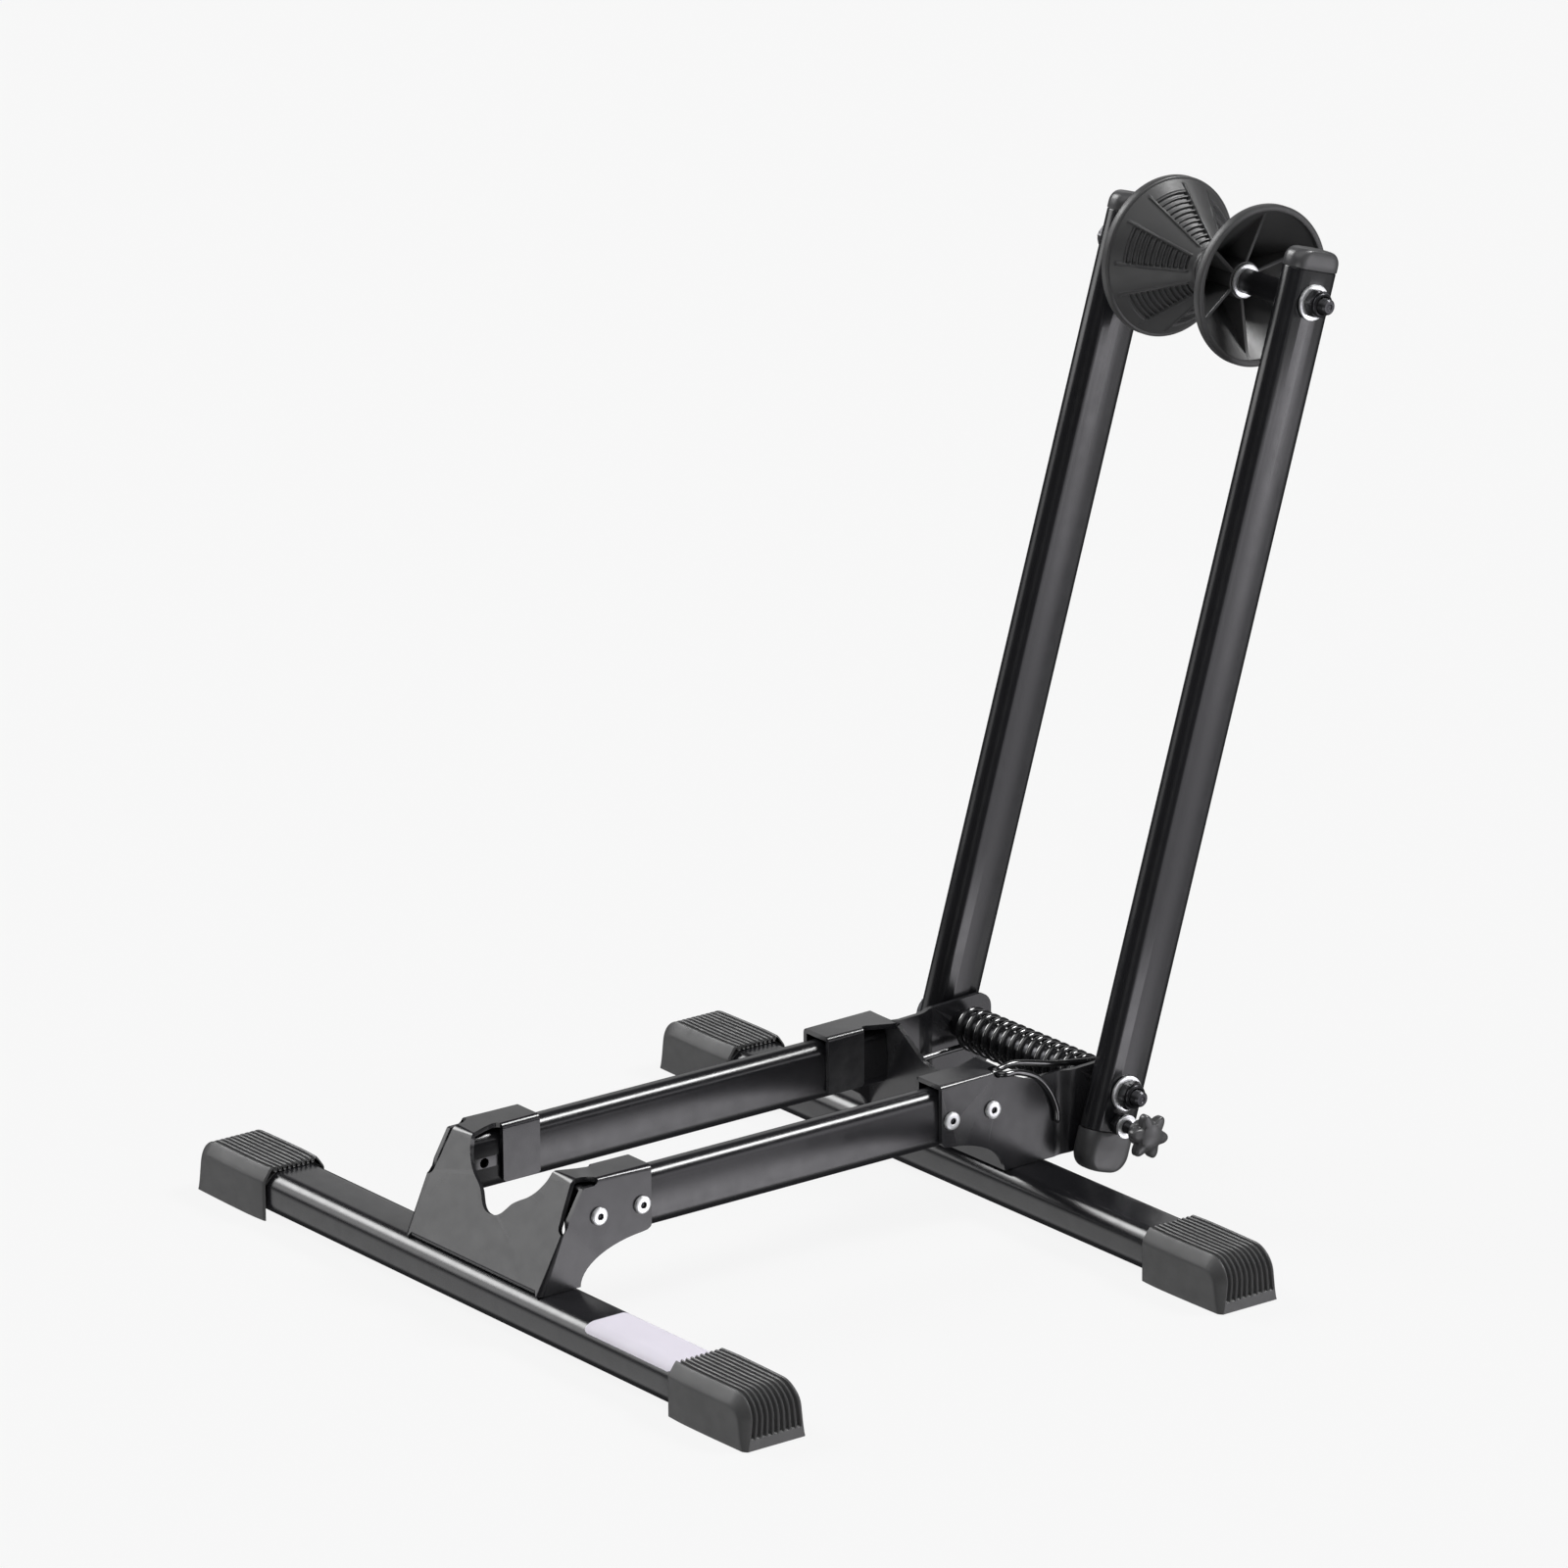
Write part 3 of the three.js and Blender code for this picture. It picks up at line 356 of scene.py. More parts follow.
def join(*shapes):
    points, faces = [], []
    for more, sheets in shapes:
        faces += [tuple(i + len(points) for i in face) for face in sheets]
        points += more
    return points, faces


def hollow(outline, wall_outline, stations, place):
    """A tube wall along stations, with chamfered rims. place(a, b, s) gives a point."""
    first, last = stations[0], stations[-1]
    rim = 0.35

    def inset(loop, by):
        ring = np.array(loop)
        middle = ring.mean(0)
        size = np.abs(ring - middle).max(0)
        return [tuple(middle + (p - middle) * (size - by) / size) for p in ring]

    outer_rim, inner_rim = inset(outline, rim * 0.6), inset(wall_outline, -rim * 0.6)
    levels = [(inner_rim, first), (outer_rim, first), (outline, first + rim)]
    levels += [(outline, s) for s in stations[1:-1]]
    levels += [(outline, last - rim), (outer_rim, last), (inner_rim, last), (wall_outline, last - rim)]
    levels += [(wall_outline, first + rim), (inner_rim, first)]
    return strips([[place(a, b, s) for a, b in ring] for ring, s in levels])


def around(sides):
    return np.linspace(0, 2 * math.pi, sides, endpoint=False)


def circle(x, radius, angles, y=0.0, z=0.0):
    return [(x, y + radius * math.cos(t), z + radius * math.sin(t)) for t in angles]


def turned(profile, sides=64):
    """A profile of (x, radius) points turned around X."""
    return strips([circle(x, r, around(sides)) for x, r in profile], caps=True)


def rod(radius, x0, x1, y=0.0, z=0.0, sides=40):
    return strips([circle(x, radius, around(sides), y, z) for x in (x0, x1)], caps=True)


def washer(label, node, matrix, inner, outer, rim, sides=64):
    """A ring with softened edges, as long as its CAD node."""
    x0, x1 = ends(node)
    profile = [
        (x0, inner + rim), (x0, outer - rim), (x0 + rim * 0.3, outer - rim * 0.3), (x0 + rim, outer),
        (x1 - rim, outer), (x1 - rim * 0.3, outer - rim * 0.3), (x1, outer - rim), (x1, inner + rim),
        (x1 - rim * 0.5, inner), (x0 + rim * 0.5, inner), (x0, inner + rim),
    ]
    piece(label, *strips([circle(x, r, around(sides)) for x, r in profile]), node, matrix)


def placed(points, side=1, dx=0.0, dy=0.0, dz=0.0):
    """The points moved, then mirrored to the left where side is -1."""
    return [(side * (x + dx), y + dy, z + dz) for x, y, z in points]


# -------- crossbars

outer = rounded(bar_half_y, bar_half_z, bar_radius, 14)
inner = rounded(bar_half_y - bar_wall, bar_half_z - bar_wall, bar_radius - bar_wall, 14)
points, faces = hollow(outer, inner, np.linspace(-bar_end, bar_end, 9), lambda a, b, s: (s, a, b + bar_mid_z))
for row, y in ROWS:
    piece(row + "_crossbar_tube", placed(points, dy=y), faces, row + "_crossbar")

# -------- foot caps

cap_nose = 13.0
cap_chamfer_side = 4.7
cap_chamfer_drop = 6.8
cap_bulge = 0.8
nose_chamfer = 0.78
foot_chamfer = 0.34
rib_count = 9
rib_pitch = 3.36
rib_width = 1.95
rib_depth = 1.9
rib_flank = 0.28
rib_foot = 5.2
rib_fade = 1.2
rib_span = rib_count * rib_pitch / 2
RIB_SHARES = (0, 0.18, 0.24, 0.29, 0.36, 0.5, 0.64, 0.71, 0.76, 0.82)
rib_line = [(i + share) * rib_pitch - rib_span for i in range(rib_count) for share in RIB_SHARES] + [rib_span]
# The cap's shoulder, as shares of its width and of its drop.
SHOULDER = [(0.0, 1.0), (0.03, 0.93), (0.1, 0.83), (0.3, 0.62), (0.5, 0.43), (0.7, 0.24), (0.9, 0.07),
            (0.97, 0.02), (1.05, 0.0)]


def cap_half_at(x):
    """Half width of a cap: it bellies out behind its inner end and tapers to the nose."""
    along = (x - cap_inner) / (cap_outer - cap_inner)
    belly = math.sin(math.pi * along * 2) if along < 0.25 else math.cos((along - 0.25) / 0.75 * math.pi / 2)
    return cap_half - cap_bulge * (1 - max(0.0, belly))


def groove(y, run):
    """Depth of the grooves at y, where run is 1 on the ribbed length and 0 past its end."""
    if abs(y) > rib_span:
        return 0.0
    local = abs(((y + rib_span) % rib_pitch) - rib_pitch / 2)
    edge = (rib_width / 2 - local) / rib_flank
    return rib_depth * run * min(1.0, max(0.0, edge + 0.5)) ** 0.8


def cap_loop(base, top, place, shrink=1.0, run=1.0, tuck=0.0):
    """One section of a cap, from one foot over the ribs to the other; base and top are distances along the
    section, and place turns a distance into x and z."""
    drop = cap_chamfer_drop * shrink
    near = [(0.0, d) for d in np.linspace(base, top - drop, 6)[:-1]]
    near += [(cap_chamfer_side * shrink * across, top - drop * down) for across, down in SHOULDER]
    near = [(inset + tuck - cap_half_at(place(d)[0]), d) for inset, d in near]
    spread = min(1.0, (-near[-1][0] - 0.2) / rib_span)
    ribs = [(y * spread, top - groove(y, run)) for y in rib_line]
    far = [(-y, d) for y, d in reversed(near)]
    return [(place(d)[0], y, place(d)[1]) for y, d in near + ribs + far]


def foot_cap_mesh():
    """The skin of a cap: its body, the turn of the nose, and the nose's front down to the floor."""
    centre_x, centre_z = cap_outer - cap_nose, cap_top - cap_nose
    low = np.linspace(0, centre_z, 3)
    body, nose, front = [], [], []
    straight = np.linspace(2.2, centre_x - cap_inner, 12)
    for s, tuck in [(0.0, 0.7), (0.25, 0.3), (0.8, 0.0), *((s, 0.0) for s in straight)]:
        x = cap_inner + s
        half = cap_half_at(x) - tuck
        loop = cap_loop(centre_z, cap_top - tuck, lambda d, x=x: (x, d), tuck=tuck)
        body.append([(x, -half, z) for z in low[:-1]] + loop + [(x, half, z) for z in reversed(low[:-1])])
    for angle in np.linspace(90, 0, 19):
        c, s = math.cos(math.radians(angle)), math.sin(math.radians(angle))
        shrink = 1 - (1 - nose_chamfer) * ((90 - angle) / 90) ** 1.5
        nose.append(cap_loop(0.0, cap_nose, lambda d, c=c, s=s: (centre_x + d * c, centre_z + d * s), shrink))
    levels = {*low, rib_foot + rib_fade, rib_foot + rib_fade / 2, rib_foot, rib_foot - 0.8, 1.2, 0.5}
    for z in sorted(levels, reverse=True):
        run = min(1.0, max(0.0, (z - rib_foot) / rib_fade))
        shrink = foot_chamfer + (nose_chamfer - foot_chamfer) * (z / centre_z) ** 0.7
        front.append(cap_loop(0.0, cap_nose, lambda d, z=z: (centre_x + d, z), shrink, run))
    return join(*(strips(rings, closed=False) for rings in (body, nose, front)))


def closed_up(points, faces):
    """Closes the underside and the inner end of a cap."""
    mesh = bpy.data.meshes.new("cap")
    mesh.from_pydata([tuple(p) for p in points], [], faces)
    bm = bmesh.new()
    bm.from_mesh(mesh)
    bmesh.ops.remove_doubles(bm, verts=bm.verts, dist=1e-3)
    bmesh.ops.holes_fill(bm, edges=[e for e in bm.edges if e.is_boundary], sides=0)
    bmesh.ops.recalc_face_normals(bm, faces=bm.faces)
    bm.verts.index_update()
    shell = [tuple(v.co) for v in bm.verts]
    polygons = [tuple(v.index for v in f.verts) for f in bm.faces]
    bm.free()
    return shell, polygons


shell, cap_faces = closed_up(*foot_cap_mesh())
pocket = rounded(bar_half_y + gap, bar_half_z + gap, bar_radius + gap, 10)
pocket_ends = (cap_inner - 5, bar_end + gap)
for row, y in ROWS:
    for side_name, side in SIDES:
        name = f"{row}_{side_name}_foot_cap"
        obj = solid(name + "_moulding", placed(shell, side, dy=y), cap_faces)
        rings = [[(side * x, a + y, b + bar_mid_z) for a, b in pocket] for x in pocket_ends]
        carve(obj, solid("pocket", *strips(rings, caps=True)))
        dress(obj, name, math.radians(28))

# -------- rails

front_rivets = [sleeve_end - rivet_margin - i * rivet_pitch for i in range(2)]
rear_rivets = [sleeve_start + rivet_margin + i * rivet_pitch for i in range(2)]


def drill(radius, x0, x1, y, z, sides, matrix=STAND):
    return solid("drill", *rod(radius, x0, x1, y, z, sides), matrix)


points, faces = hollow(*tube_lines(12), np.linspace(rail_from, rail_to, 7),
                       lambda a, b, s: (a + rail_x, s, b + rail_z))
for side_name, side in SIDES:
    obj = solid(side_name + "_rail_tube", placed(points, side), faces)
    outside, middle, inside = (side * x for x in (sheet_side + 1, rail_x, rail_x - tube_half_x - 1))
    drills = [drill(2.75, middle, outside, y, rail_z, 28) for y in front_rivets + rear_rivets]
    drills.append(drill(2.6, inside, middle, front_rivets[1], rail_z, 28))
    carve(obj, *drills)
    dress(obj, side_name + "_rail")

# -------- folded brackets


def fold_sheet(node, polygons, bend, drills):
    """A folded sheet whose outer faces are the polygons; the faces meet in rounded folds."""
    bm = bmesh.new()
    for polygon in polygons:
        bm.faces.new([bm.verts.new(Vector(p)) for p in polygon])
    bmesh.ops.remove_doubles(bm, verts=bm.verts, dist=0.02)
    bmesh.ops.recalc_face_normals(bm, faces=bm.faces)
    top = max(bm.faces, key=lambda f: (round(abs(f.normal.z), 2), f.calc_area()))
    if top.normal.z < 0:
        bmesh.ops.reverse_faces(bm, faces=bm.faces)
    folds = [e for e in bm.edges if len(e.link_faces) == 2 and e.calc_face_angle(0) > math.radians(8)]
    bmesh.ops.bevel(bm, geom=folds, offset=bend, offset_type="OFFSET", segments=7, profile=0.5,
                    affect="EDGES", clamp_overlap=False)
    bmesh.ops.triangulate(bm, faces=[f for f in bm.faces if len(f.verts) > 4])
    mesh = bpy.data.meshes.new(node + "_sheet")
    bm.to_mesh(mesh)
    bm.free()
    mesh.transform(STAND)
    obj = linked(node + "_sheet", mesh)
    modify(obj, "SOLIDIFY", thickness=sheet * MM, offset=-1, use_even_offset=True, use_quality_normals=True)
    carve(obj, *drills)
    modify(obj, "BEVEL", width=0.35 * MM, segments=2, limit_method="ANGLE", angle_limit=math.radians(40))
    dress(obj, node, math.radians(35))
    # The large flat faces set the shading of the small faces round them.
    modify(obj, "WEIGHTED_NORMAL", weight=100, keep_sharp=True)


def on_plate(x, s):
    """A point of the leaning front plate at height s along it."""
    return (x, plate_y + s * math.sin(plate_lean), sheet_foot + s * math.cos(plate_lean))


def lip_outline(y0, y1):
    """The sleeve's inner lip between y0 and y1, with its lower corners cut."""
    corner = math.copysign(1.2, y1 - y0)
    return [(y0, sheet_top), (y1, sheet_top), (y1, lip_low + 1.2), (y1 - corner, lip_low),
            (y0 + corner, lip_low), (y0, lip_low + 1.2)]


def rivet_drills(places):
    inside, outside = sheet_side - 4, sheet_side + 2
    return [drill(2.7, k * inside, k * outside, y, rail_z, 32) for y in places for k in (1, -1)]


notch_half = spline([
    (0, 26.7), (3.0, 26.95), (5.6, 27.9), (8.0, 29.7), (10.2, 32.3), (13.0, 35.6), (17.0, 38.4),
    (22.0, 41.4), (26.4, 45.3), (29.6, 49.6), (31.6, 53.3), (33.0, plate_height)], 4)
horn_outer = 47.9
slit_foot = 31.5
relief_top = 40.5
relief_reach = 4.6
arch_foot = 12.6


def front_bracket():
    """Outer faces of the front bracket: plate, turned-in foot, and a flange, roof and lip on each side."""
    side = sheet_side
    right = [(side, 0.0), (side, slit_foot)]
    relief_middle, relief_half = (slit_foot + relief_top) / 2, (relief_top - slit_foot) / 2
    right += arc(side, relief_middle, relief_reach, -102, -190, 7, relief_half)
    right += [(side - relief_reach - 0.9, 41.2), (horn_outer + 1.6, 44.0), (horn_outer, plate_height)]
    right += notch_half[:0:-1]
    low_half = side - 5.0
    left = [(-x, s) for x, s in reversed(right)]
    outline = [*right, notch_half[0], *left, (-low_half, 0.0), (low_half, 0.0)]
    plate = [on_plate(x, s) for x, s in outline]
    under_y = plate_y + 6.5
    under = [*plate[:-3:-1], (-low_half + 1.5, under_y, sheet_foot), (low_half - 1.5, under_y, sheet_foot)]
    polygons = [plate, under]

    _, slit_y, slit_z = on_plate(0.0, slit_foot)
    shelf = sheet_top - front_bend - 0.2
    top_front = plate_y + (shelf - 1.5 - sheet_foot) * math.tan(plate_lean) + 2.6
    front_edge = [(slit_y + 1.5, slit_z + 0.6), (slit_y + 3.6, slit_z + 3.2), (slit_y + 4.6, slit_z + 6.6),
                  (top_front, shelf - 1.5), (top_front + 0.7, shelf - 0.3), (top_front + 1.8, shelf),
                  (21.4, shelf), (22.8, shelf + 0.9), (23.6, shelf + 2.0), (24.2, sheet_top)]
    heel = [(sleeve_end, flange_heel + 1.6), (sleeve_end - 0.5, flange_heel + 0.3),
            (sleeve_end - 2.4, flange_heel - 0.9)]
    arch = arc(sleeve_end, sheet_foot, arch_foot - sleeve_end, 82, 0, 13, flange_heel - 1.2 - sheet_foot)
    flange = [(plate_y, sheet_foot), (slit_y, slit_z), *front_edge, (sleeve_end, sheet_top), *heel, *arch]
    lip_end = sleeve_end - lip_length
    roof = [(horn_outer, plate_top_y), (horn_outer + 0.4, plate_top_y + 5.0), (horn_outer + 1.2, 20.2),
            (horn_outer + 2.6, 22.4), (horn_outer + 4.4, 23.6), (side, 24.2), (side, sleeve_end),
            (lip_inner, sleeve_end), (lip_inner, lip_end), (lip_inner + 2.2, lip_end - 0.2),
            (lip_inner + 3.6, lip_end - 1.6), (lip_inner + 3.8, lip_end - 3.8),
            (lip_inner + 2.4, lip_end - 9.0), (33.4, plate_top_y + 1.5), (33.0, plate_top_y)]
    for k in (1, -1):
        polygons.append([(k * side, y, z) for y, z in flange])
        polygons.append([(k * x, y, sheet_top) for x, y in roof])
        polygons.append([(k * lip_inner, y, z) for y, z in lip_outline(lip_end, sleeve_end)])
    return polygons


fold_sheet("front_bracket", front_bracket(), front_bend, rivet_drills(front_rivets))

leg_notch_y = 266.6
leg_notch_radius = 3.4
notch_wall = 47.4
valley_half = 31.5
valley_depth = 16.0
ear_top = pivot[2] + 13.0
ear_low = pivot[2] - 25.0
ear_corner = 8.0
jog_from = crossbar_spacing + 19.0
jog_to = jog_from + 6.0
web_half = sheet_side - sheet - 0.15


def rear_bracket():
    """Outer faces of the rear bracket: web, and a roof, lip, flange, jog and ear on each side. The spring's
    leg lies in a notch of the right-hand roof."""
    side = sheet_side
    lip_end = sleeve_start + lip_length
    back_foot = crossbar_spacing + bar_half_y
    ear_bend = ear_end - ear_corner
    ridge_back, ridge_low = 290.0, 67.8

    def upper(y):
        return ridge_low + (ear_top - ridge_low) / (ear_bend - ridge_back) * (y - ridge_back)

    def lower(y):
        return sheet_foot + (ear_low - sheet_foot) * (y - back_foot) / (ear_bend - back_foot)

    notch_front = leg_notch_y - leg_notch_radius
    notched_roof = [(side, notch_front), (side - 1.5, notch_front + 0.1),
                    (50.4, leg_notch_y - 3.2), (48.6, leg_notch_y - 2.0), (47.6, leg_notch_y),
                    (notch_wall, leg_notch_y + 3.0), (notch_wall, web_y)]
    plain_roof = [(side, web_y - 1.0), (side - 1.0, web_y - 0.4), (web_half, web_y)]
    notched_ridge = [(notch_front, sheet_top),
                     *arc(leg_notch_y, sheet_top, leg_notch_radius, -165, -90, 5),
                     (leg_notch_y + 4.5, sheet_top - leg_notch_radius + 0.1), (278.5, 70.6)]
    plain_ridge = [(web_y - 1.0, sheet_top), (web_y + 1.0, sheet_top - 1.2), (278.5, 70.9)]
    inner_roof = [(valley_half, web_y), (valley_half + 0.9, web_y - 4.0), (lip_inner + 2.0, lip_end + 6.0),
                  (lip_inner + 3.4, lip_end + 3.4), (lip_inner + 3.4, lip_end + 1.2),
                  (lip_inner + 2.0, lip_end + 0.2), (lip_inner, lip_end), (lip_inner, sleeve_start)]
    arch_depth = web_y - 2.5 - sleeve_start
    arch = arc(sleeve_start, sheet_foot, arch_depth, 0, 82, 13, flange_heel - 1.0 - sheet_foot)
    heel = [(sleeve_start + 2.2, flange_heel - 0.8), (sleeve_start + 0.5, flange_heel + 0.3),
            (sleeve_start, flange_heel + 1.6)]
    ear = [(jog_to, upper(jog_to)), *arc(ear_bend, ear_top - ear_corner, ear_corner, 90, 0, 7),
           *arc(ear_bend, ear_low + ear_corner, ear_corner, 0, -90, 7), (jog_to, lower(jog_to))]
    polygons = []
    for k, roof, ridge in ((1, notched_roof, notched_ridge), (-1, plain_roof, plain_ridge)):
        flange = [(sleeve_start, sheet_top), *ridge, (284.0, 68.4), (ridge_back, ridge_low),
                  (jog_from, upper(jog_from)), (jog_from, lower(jog_from)), (back_foot, sheet_foot),
                  *arch, *heel]
        polygons.append([(k * x, y, sheet_top) for x, y in [(side, sleeve_start), *roof, *inner_roof]])
        polygons.append([(k * lip_inner, y, z) for y, z in lip_outline(sleeve_start, lip_end)])
        polygons.append([(k * side, y, z) for y, z in flange])
        polygons.append([(k * side, jog_from, upper(jog_from)), (k * ear_side, jog_to, upper(jog_to)),
                         (k * ear_side, jog_to, lower(jog_to)), (k * side, jog_from, lower(jog_from))])
        polygons.append([(k * ear_side, y, z) for y, z in ear])

    valley_foot = sheet_top - valley_depth
    bank = [(valley_half, sheet_top), (27.5, sheet_top - 2.6), (12.5, valley_foot + 3.6),
            (6.5, valley_foot + 0.9)]
    valley = spline([*((-x, z) for x, z in bank), (0, valley_foot), *reversed(bank)], 5)
    web = [(web_half, sheet_foot), (web_half, sheet_top - 5.0), (notch_wall, sheet_top - 4.6),
           (notch_wall, sheet_top), *reversed(valley), (-web_half, sheet_top), (-web_half, sheet_foot)]
    polygons.append([(x, web_y, z) for x, z in web])
    return polygons


bores = [drill(bolt_bore, k * (ear_side - 4), k * (ear_side + 2), pivot[1], pivot[2], 40) for k in (1, -1)]
fold_sheet("rear_bracket", rear_bracket(), rear_bend, [*rivet_drills(rear_rivets), *bores])

# -------- rivets

rivet_foot, rivet_top = ends("front_right_rivet_1")
rivet_face = sheet_side + 0.12
rivet_hole = 1.55
RIVET = [
    (rivet_foot, 0.01), (rivet_foot, 2.1), (rivet_foot + 0.5, 2.4), (rivet_face, 2.4), (rivet_face, 4.4),
    (rivet_face + 0.12, 4.6), (rivet_face + 0.5, 4.62), (rivet_top - 0.35, 4.35), (rivet_top - 0.12, 3.9),
    (rivet_top, 3.0), (rivet_top, 1.9), (rivet_top - 0.2, 1.6), (rivet_top - 1.3, 1.5),
    (rivet_top - 1.3, 1.2), (rivet_top - 0.9, 0.95), (rivet_top - 0.75, 0.5), (rivet_top - 0.76, 0.01),
]
points, faces = turned(RIVET, 40)
for row, places in (("front", front_rivets), ("rear", rear_rivets)):
    for i, y in enumerate(places):
        for side_name, side in SIDES:
            node = f"{row}_{side_name}_rivet_{i + 1}"
            obj = piece(node + "_dome", placed(points, side, dy=y, dz=rail_z), faces, node)
            obj.data.materials.append(FINISH["black_oxide_steel"])
            # The faces inside each rivet's hole, the hole's wall and the mandrel end in it, take the dark
            # black-oxide finish. This is painted shade for the dark hole; the mandrel end is a real part, here
            # also in that dark finish.
            for face in obj.data.polygons:
                middle = face.center / MM
                off = math.hypot(middle.y - origin_y - y, middle.z - rail_z)
                if off < rivet_hole and rivet_face < abs(middle.x) < rivet_top - 0.3:
                    face.material_index = 1

# -------- bolts, nuts and washers

thread_pitch = 1.25
thread_depth = 0.42
bolt_head = 5.3
bolt_hexagon = 13.0
threaded = 12.5


def hexagon(across, x0, x1):
    """A hexagonal bar along X whose corners are turned off in a cone."""
    corner = across / math.sqrt(3)
    turned_off = 0.9
    run = turned_off * 0.55
    rings = []
    low = corner - turned_off
    for x, limit in ((x0, low), (x0 + run, corner), (x1 - run, corner), (x1, low)):
        ring = []
        for t in around(60):
            r = min(across / 2 / math.cos(t % (math.pi / 3) - math.pi / 6), limit)
            ring.append((x, r * math.cos(t), r * math.sin(t)))
        rings.append(ring)
    return rings


def nut(label, node, matrix, across, bore):
    """A lock nut: a hexagon with a rolled collar that holds a nylon ring."""
    x0, x1 = ends(node)
    wide = across / 2 - 0.5
    face = x1 - (x1 - x0) * 0.28
    body = hexagon(across, x0, face)
    collar = [(face, wide), (x1 - 0.7, wide), (x1 - 0.2, wide - 0.45), (x1, wide - 1.1), (x1, bore + 0.9),
              (x1 - 0.5, bore + 0.3), (x0 + 0.5, bore + 0.3), (x0, bore + 0.8)]
    piece(label, *strips([*body, *(circle(x, r, around(60)) for x, r in collar), body[0]]), node, matrix)


def thread(x0, x1, radius):
    """Profile of a threaded end, as rings of the thread."""
    profile = []
    x = x0
    while x < x1 - 1.0 - thread_pitch:
        profile += [(x, radius - thread_depth), (x + thread_pitch * 0.5, radius)]
        x += thread_pitch
    return [*profile, (x, radius - thread_depth), (x1 - 1.0, radius - 0.1), (x1, radius - 1.0),
            (x1, 1.6), (x1 - 0.5, 1.2), (x1 - 0.6, 0.01)]


def bolt(node, matrix):
    x0, x1 = ends(node)
    seat = x0 + bolt_head
    shank = [(seat - 0.1, 0.01), (seat - 0.1, bolt_radius), (x1 - threaded - 0.5, bolt_radius)]
    piece(node + "_shank", *turned(shank + thread(x1 - threaded, x1, bolt_radius), 48), node, matrix)
    piece(node + "_head", *strips(hexagon(bolt_hexagon, x0, seat), caps=True), node, matrix)


for prefix, matrix in (("pivot", PIVOT), ("roller", AXLE)):
    bolt(prefix + "_bolt", matrix)
    nut(prefix + "_lock_nut", prefix + "_nut", matrix, bolt_hexagon, bolt_radius)
    for side_name, side in SIDES:
        node = f"{prefix}_{side_name}_washer"
        washer(node + "_disc", node, matrix, bolt_bore, washer_radius, 0.35)
for side_name, side in SIDES:
    washer(side_name + "_pivot_shim_disc", side_name + "_pivot_shim", PIVOT, bolt_bore, washer_radius, 0.2)
washer("pivot_distance_sleeve", "pivot_distance_tube", PIVOT, bolt_bore, 6.5, 0.3, 48)

# -------- torsion spring

wire = 1.6
coil_radius = 9.8
coil_turns = 14.5
steps_a_turn = 28


def sweep(line, radius, sides=14):
    """A round wire along a line of points, with domed ends."""
    line = [Vector(p) for p in line]
    last = len(line) - 1
    tangents = [(line[min(i + 1, last)] - line[max(i - 1, 0)]).normalized() for i in range(len(line))]
    normal = tangents[0].orthogonal().normalized()
    rings = []
    for i, (p, t) in enumerate(zip(line, tangents)):
        normal = (normal - t * normal.dot(t)).normalized()
        side = t.cross(normal)
        reach = radius * (0.55 if i in (0, last) else 1.0)
        rings.append([tuple(p + (normal * math.cos(a) + side * math.sin(a)) * reach) for a in around(sides)])
    return strips(rings, caps=True)


def spring_line():
    """Centre line about the pivot: a leg behind the web, the coil, a leg hooked over the right flange."""
    reach = ear_side - sheet - 5.0 - wire
    outside = sheet_side + gap + wire
    inside = sheet_side - sheet - 2 * wire
    web_back = web_y + gap + wire - pivot[1]
    notch_y = leg_notch_y - pivot[1]
    notch_z = sheet_top - leg_notch_radius + gap + wire - pivot[2]
    leg = [(-reach, web_back, -coil_radius - 4), (-reach, web_back + 18, -coil_radius - 1.4),
           (-reach, -14, -coil_radius - 0.2)]
    coil = []
    for share in np.linspace(0, 1, int(coil_turns * steps_a_turn) + 1):
        angle = -math.pi / 2 + coil_turns * 2 * math.pi * share
        x = -reach + 2 * reach * share
        coil.append((x, math.cos(angle) * coil_radius, math.sin(angle) * coil_radius))
    hook = [(inside, notch_y + 40, notch_z - 5), (inside, notch_y + 16, notch_z + 0.6),
            (inside, notch_y + 5, notch_z + 0.2), (inside + 1.2, notch_y + 1, notch_z),
            (inside + 4, notch_y - 0.4, notch_z), (outside, notch_y + 2, notch_z),
            (outside, notch_y + 11, notch_z - 1), (outside, notch_y + 22, notch_z - 6),
            (outside, notch_y + 29.5, notch_z - 14), (outside, notch_y + 34, notch_z - 24),
            (outside, notch_y + 35, notch_z - 32.5)]
    return [*spline([*leg, coil[0]], 8)[:-1], *coil, *spline([coil[-1], *hook], 7)[1:]]


piece("torsion_spring_wire", *sweep(spring_line(), wire), "torsion_spring", PIVOT, math.radians(60))

# -------- arms and plugs

tube_end_top = arm_reach + 15.0
tube_end_low = -20.5
tube_points, tube_faces = hollow(*tube_lines(14), np.linspace(tube_end_low, tube_end_top, 5),
                                 lambda a, b, s: (a + arm_x, b, s))


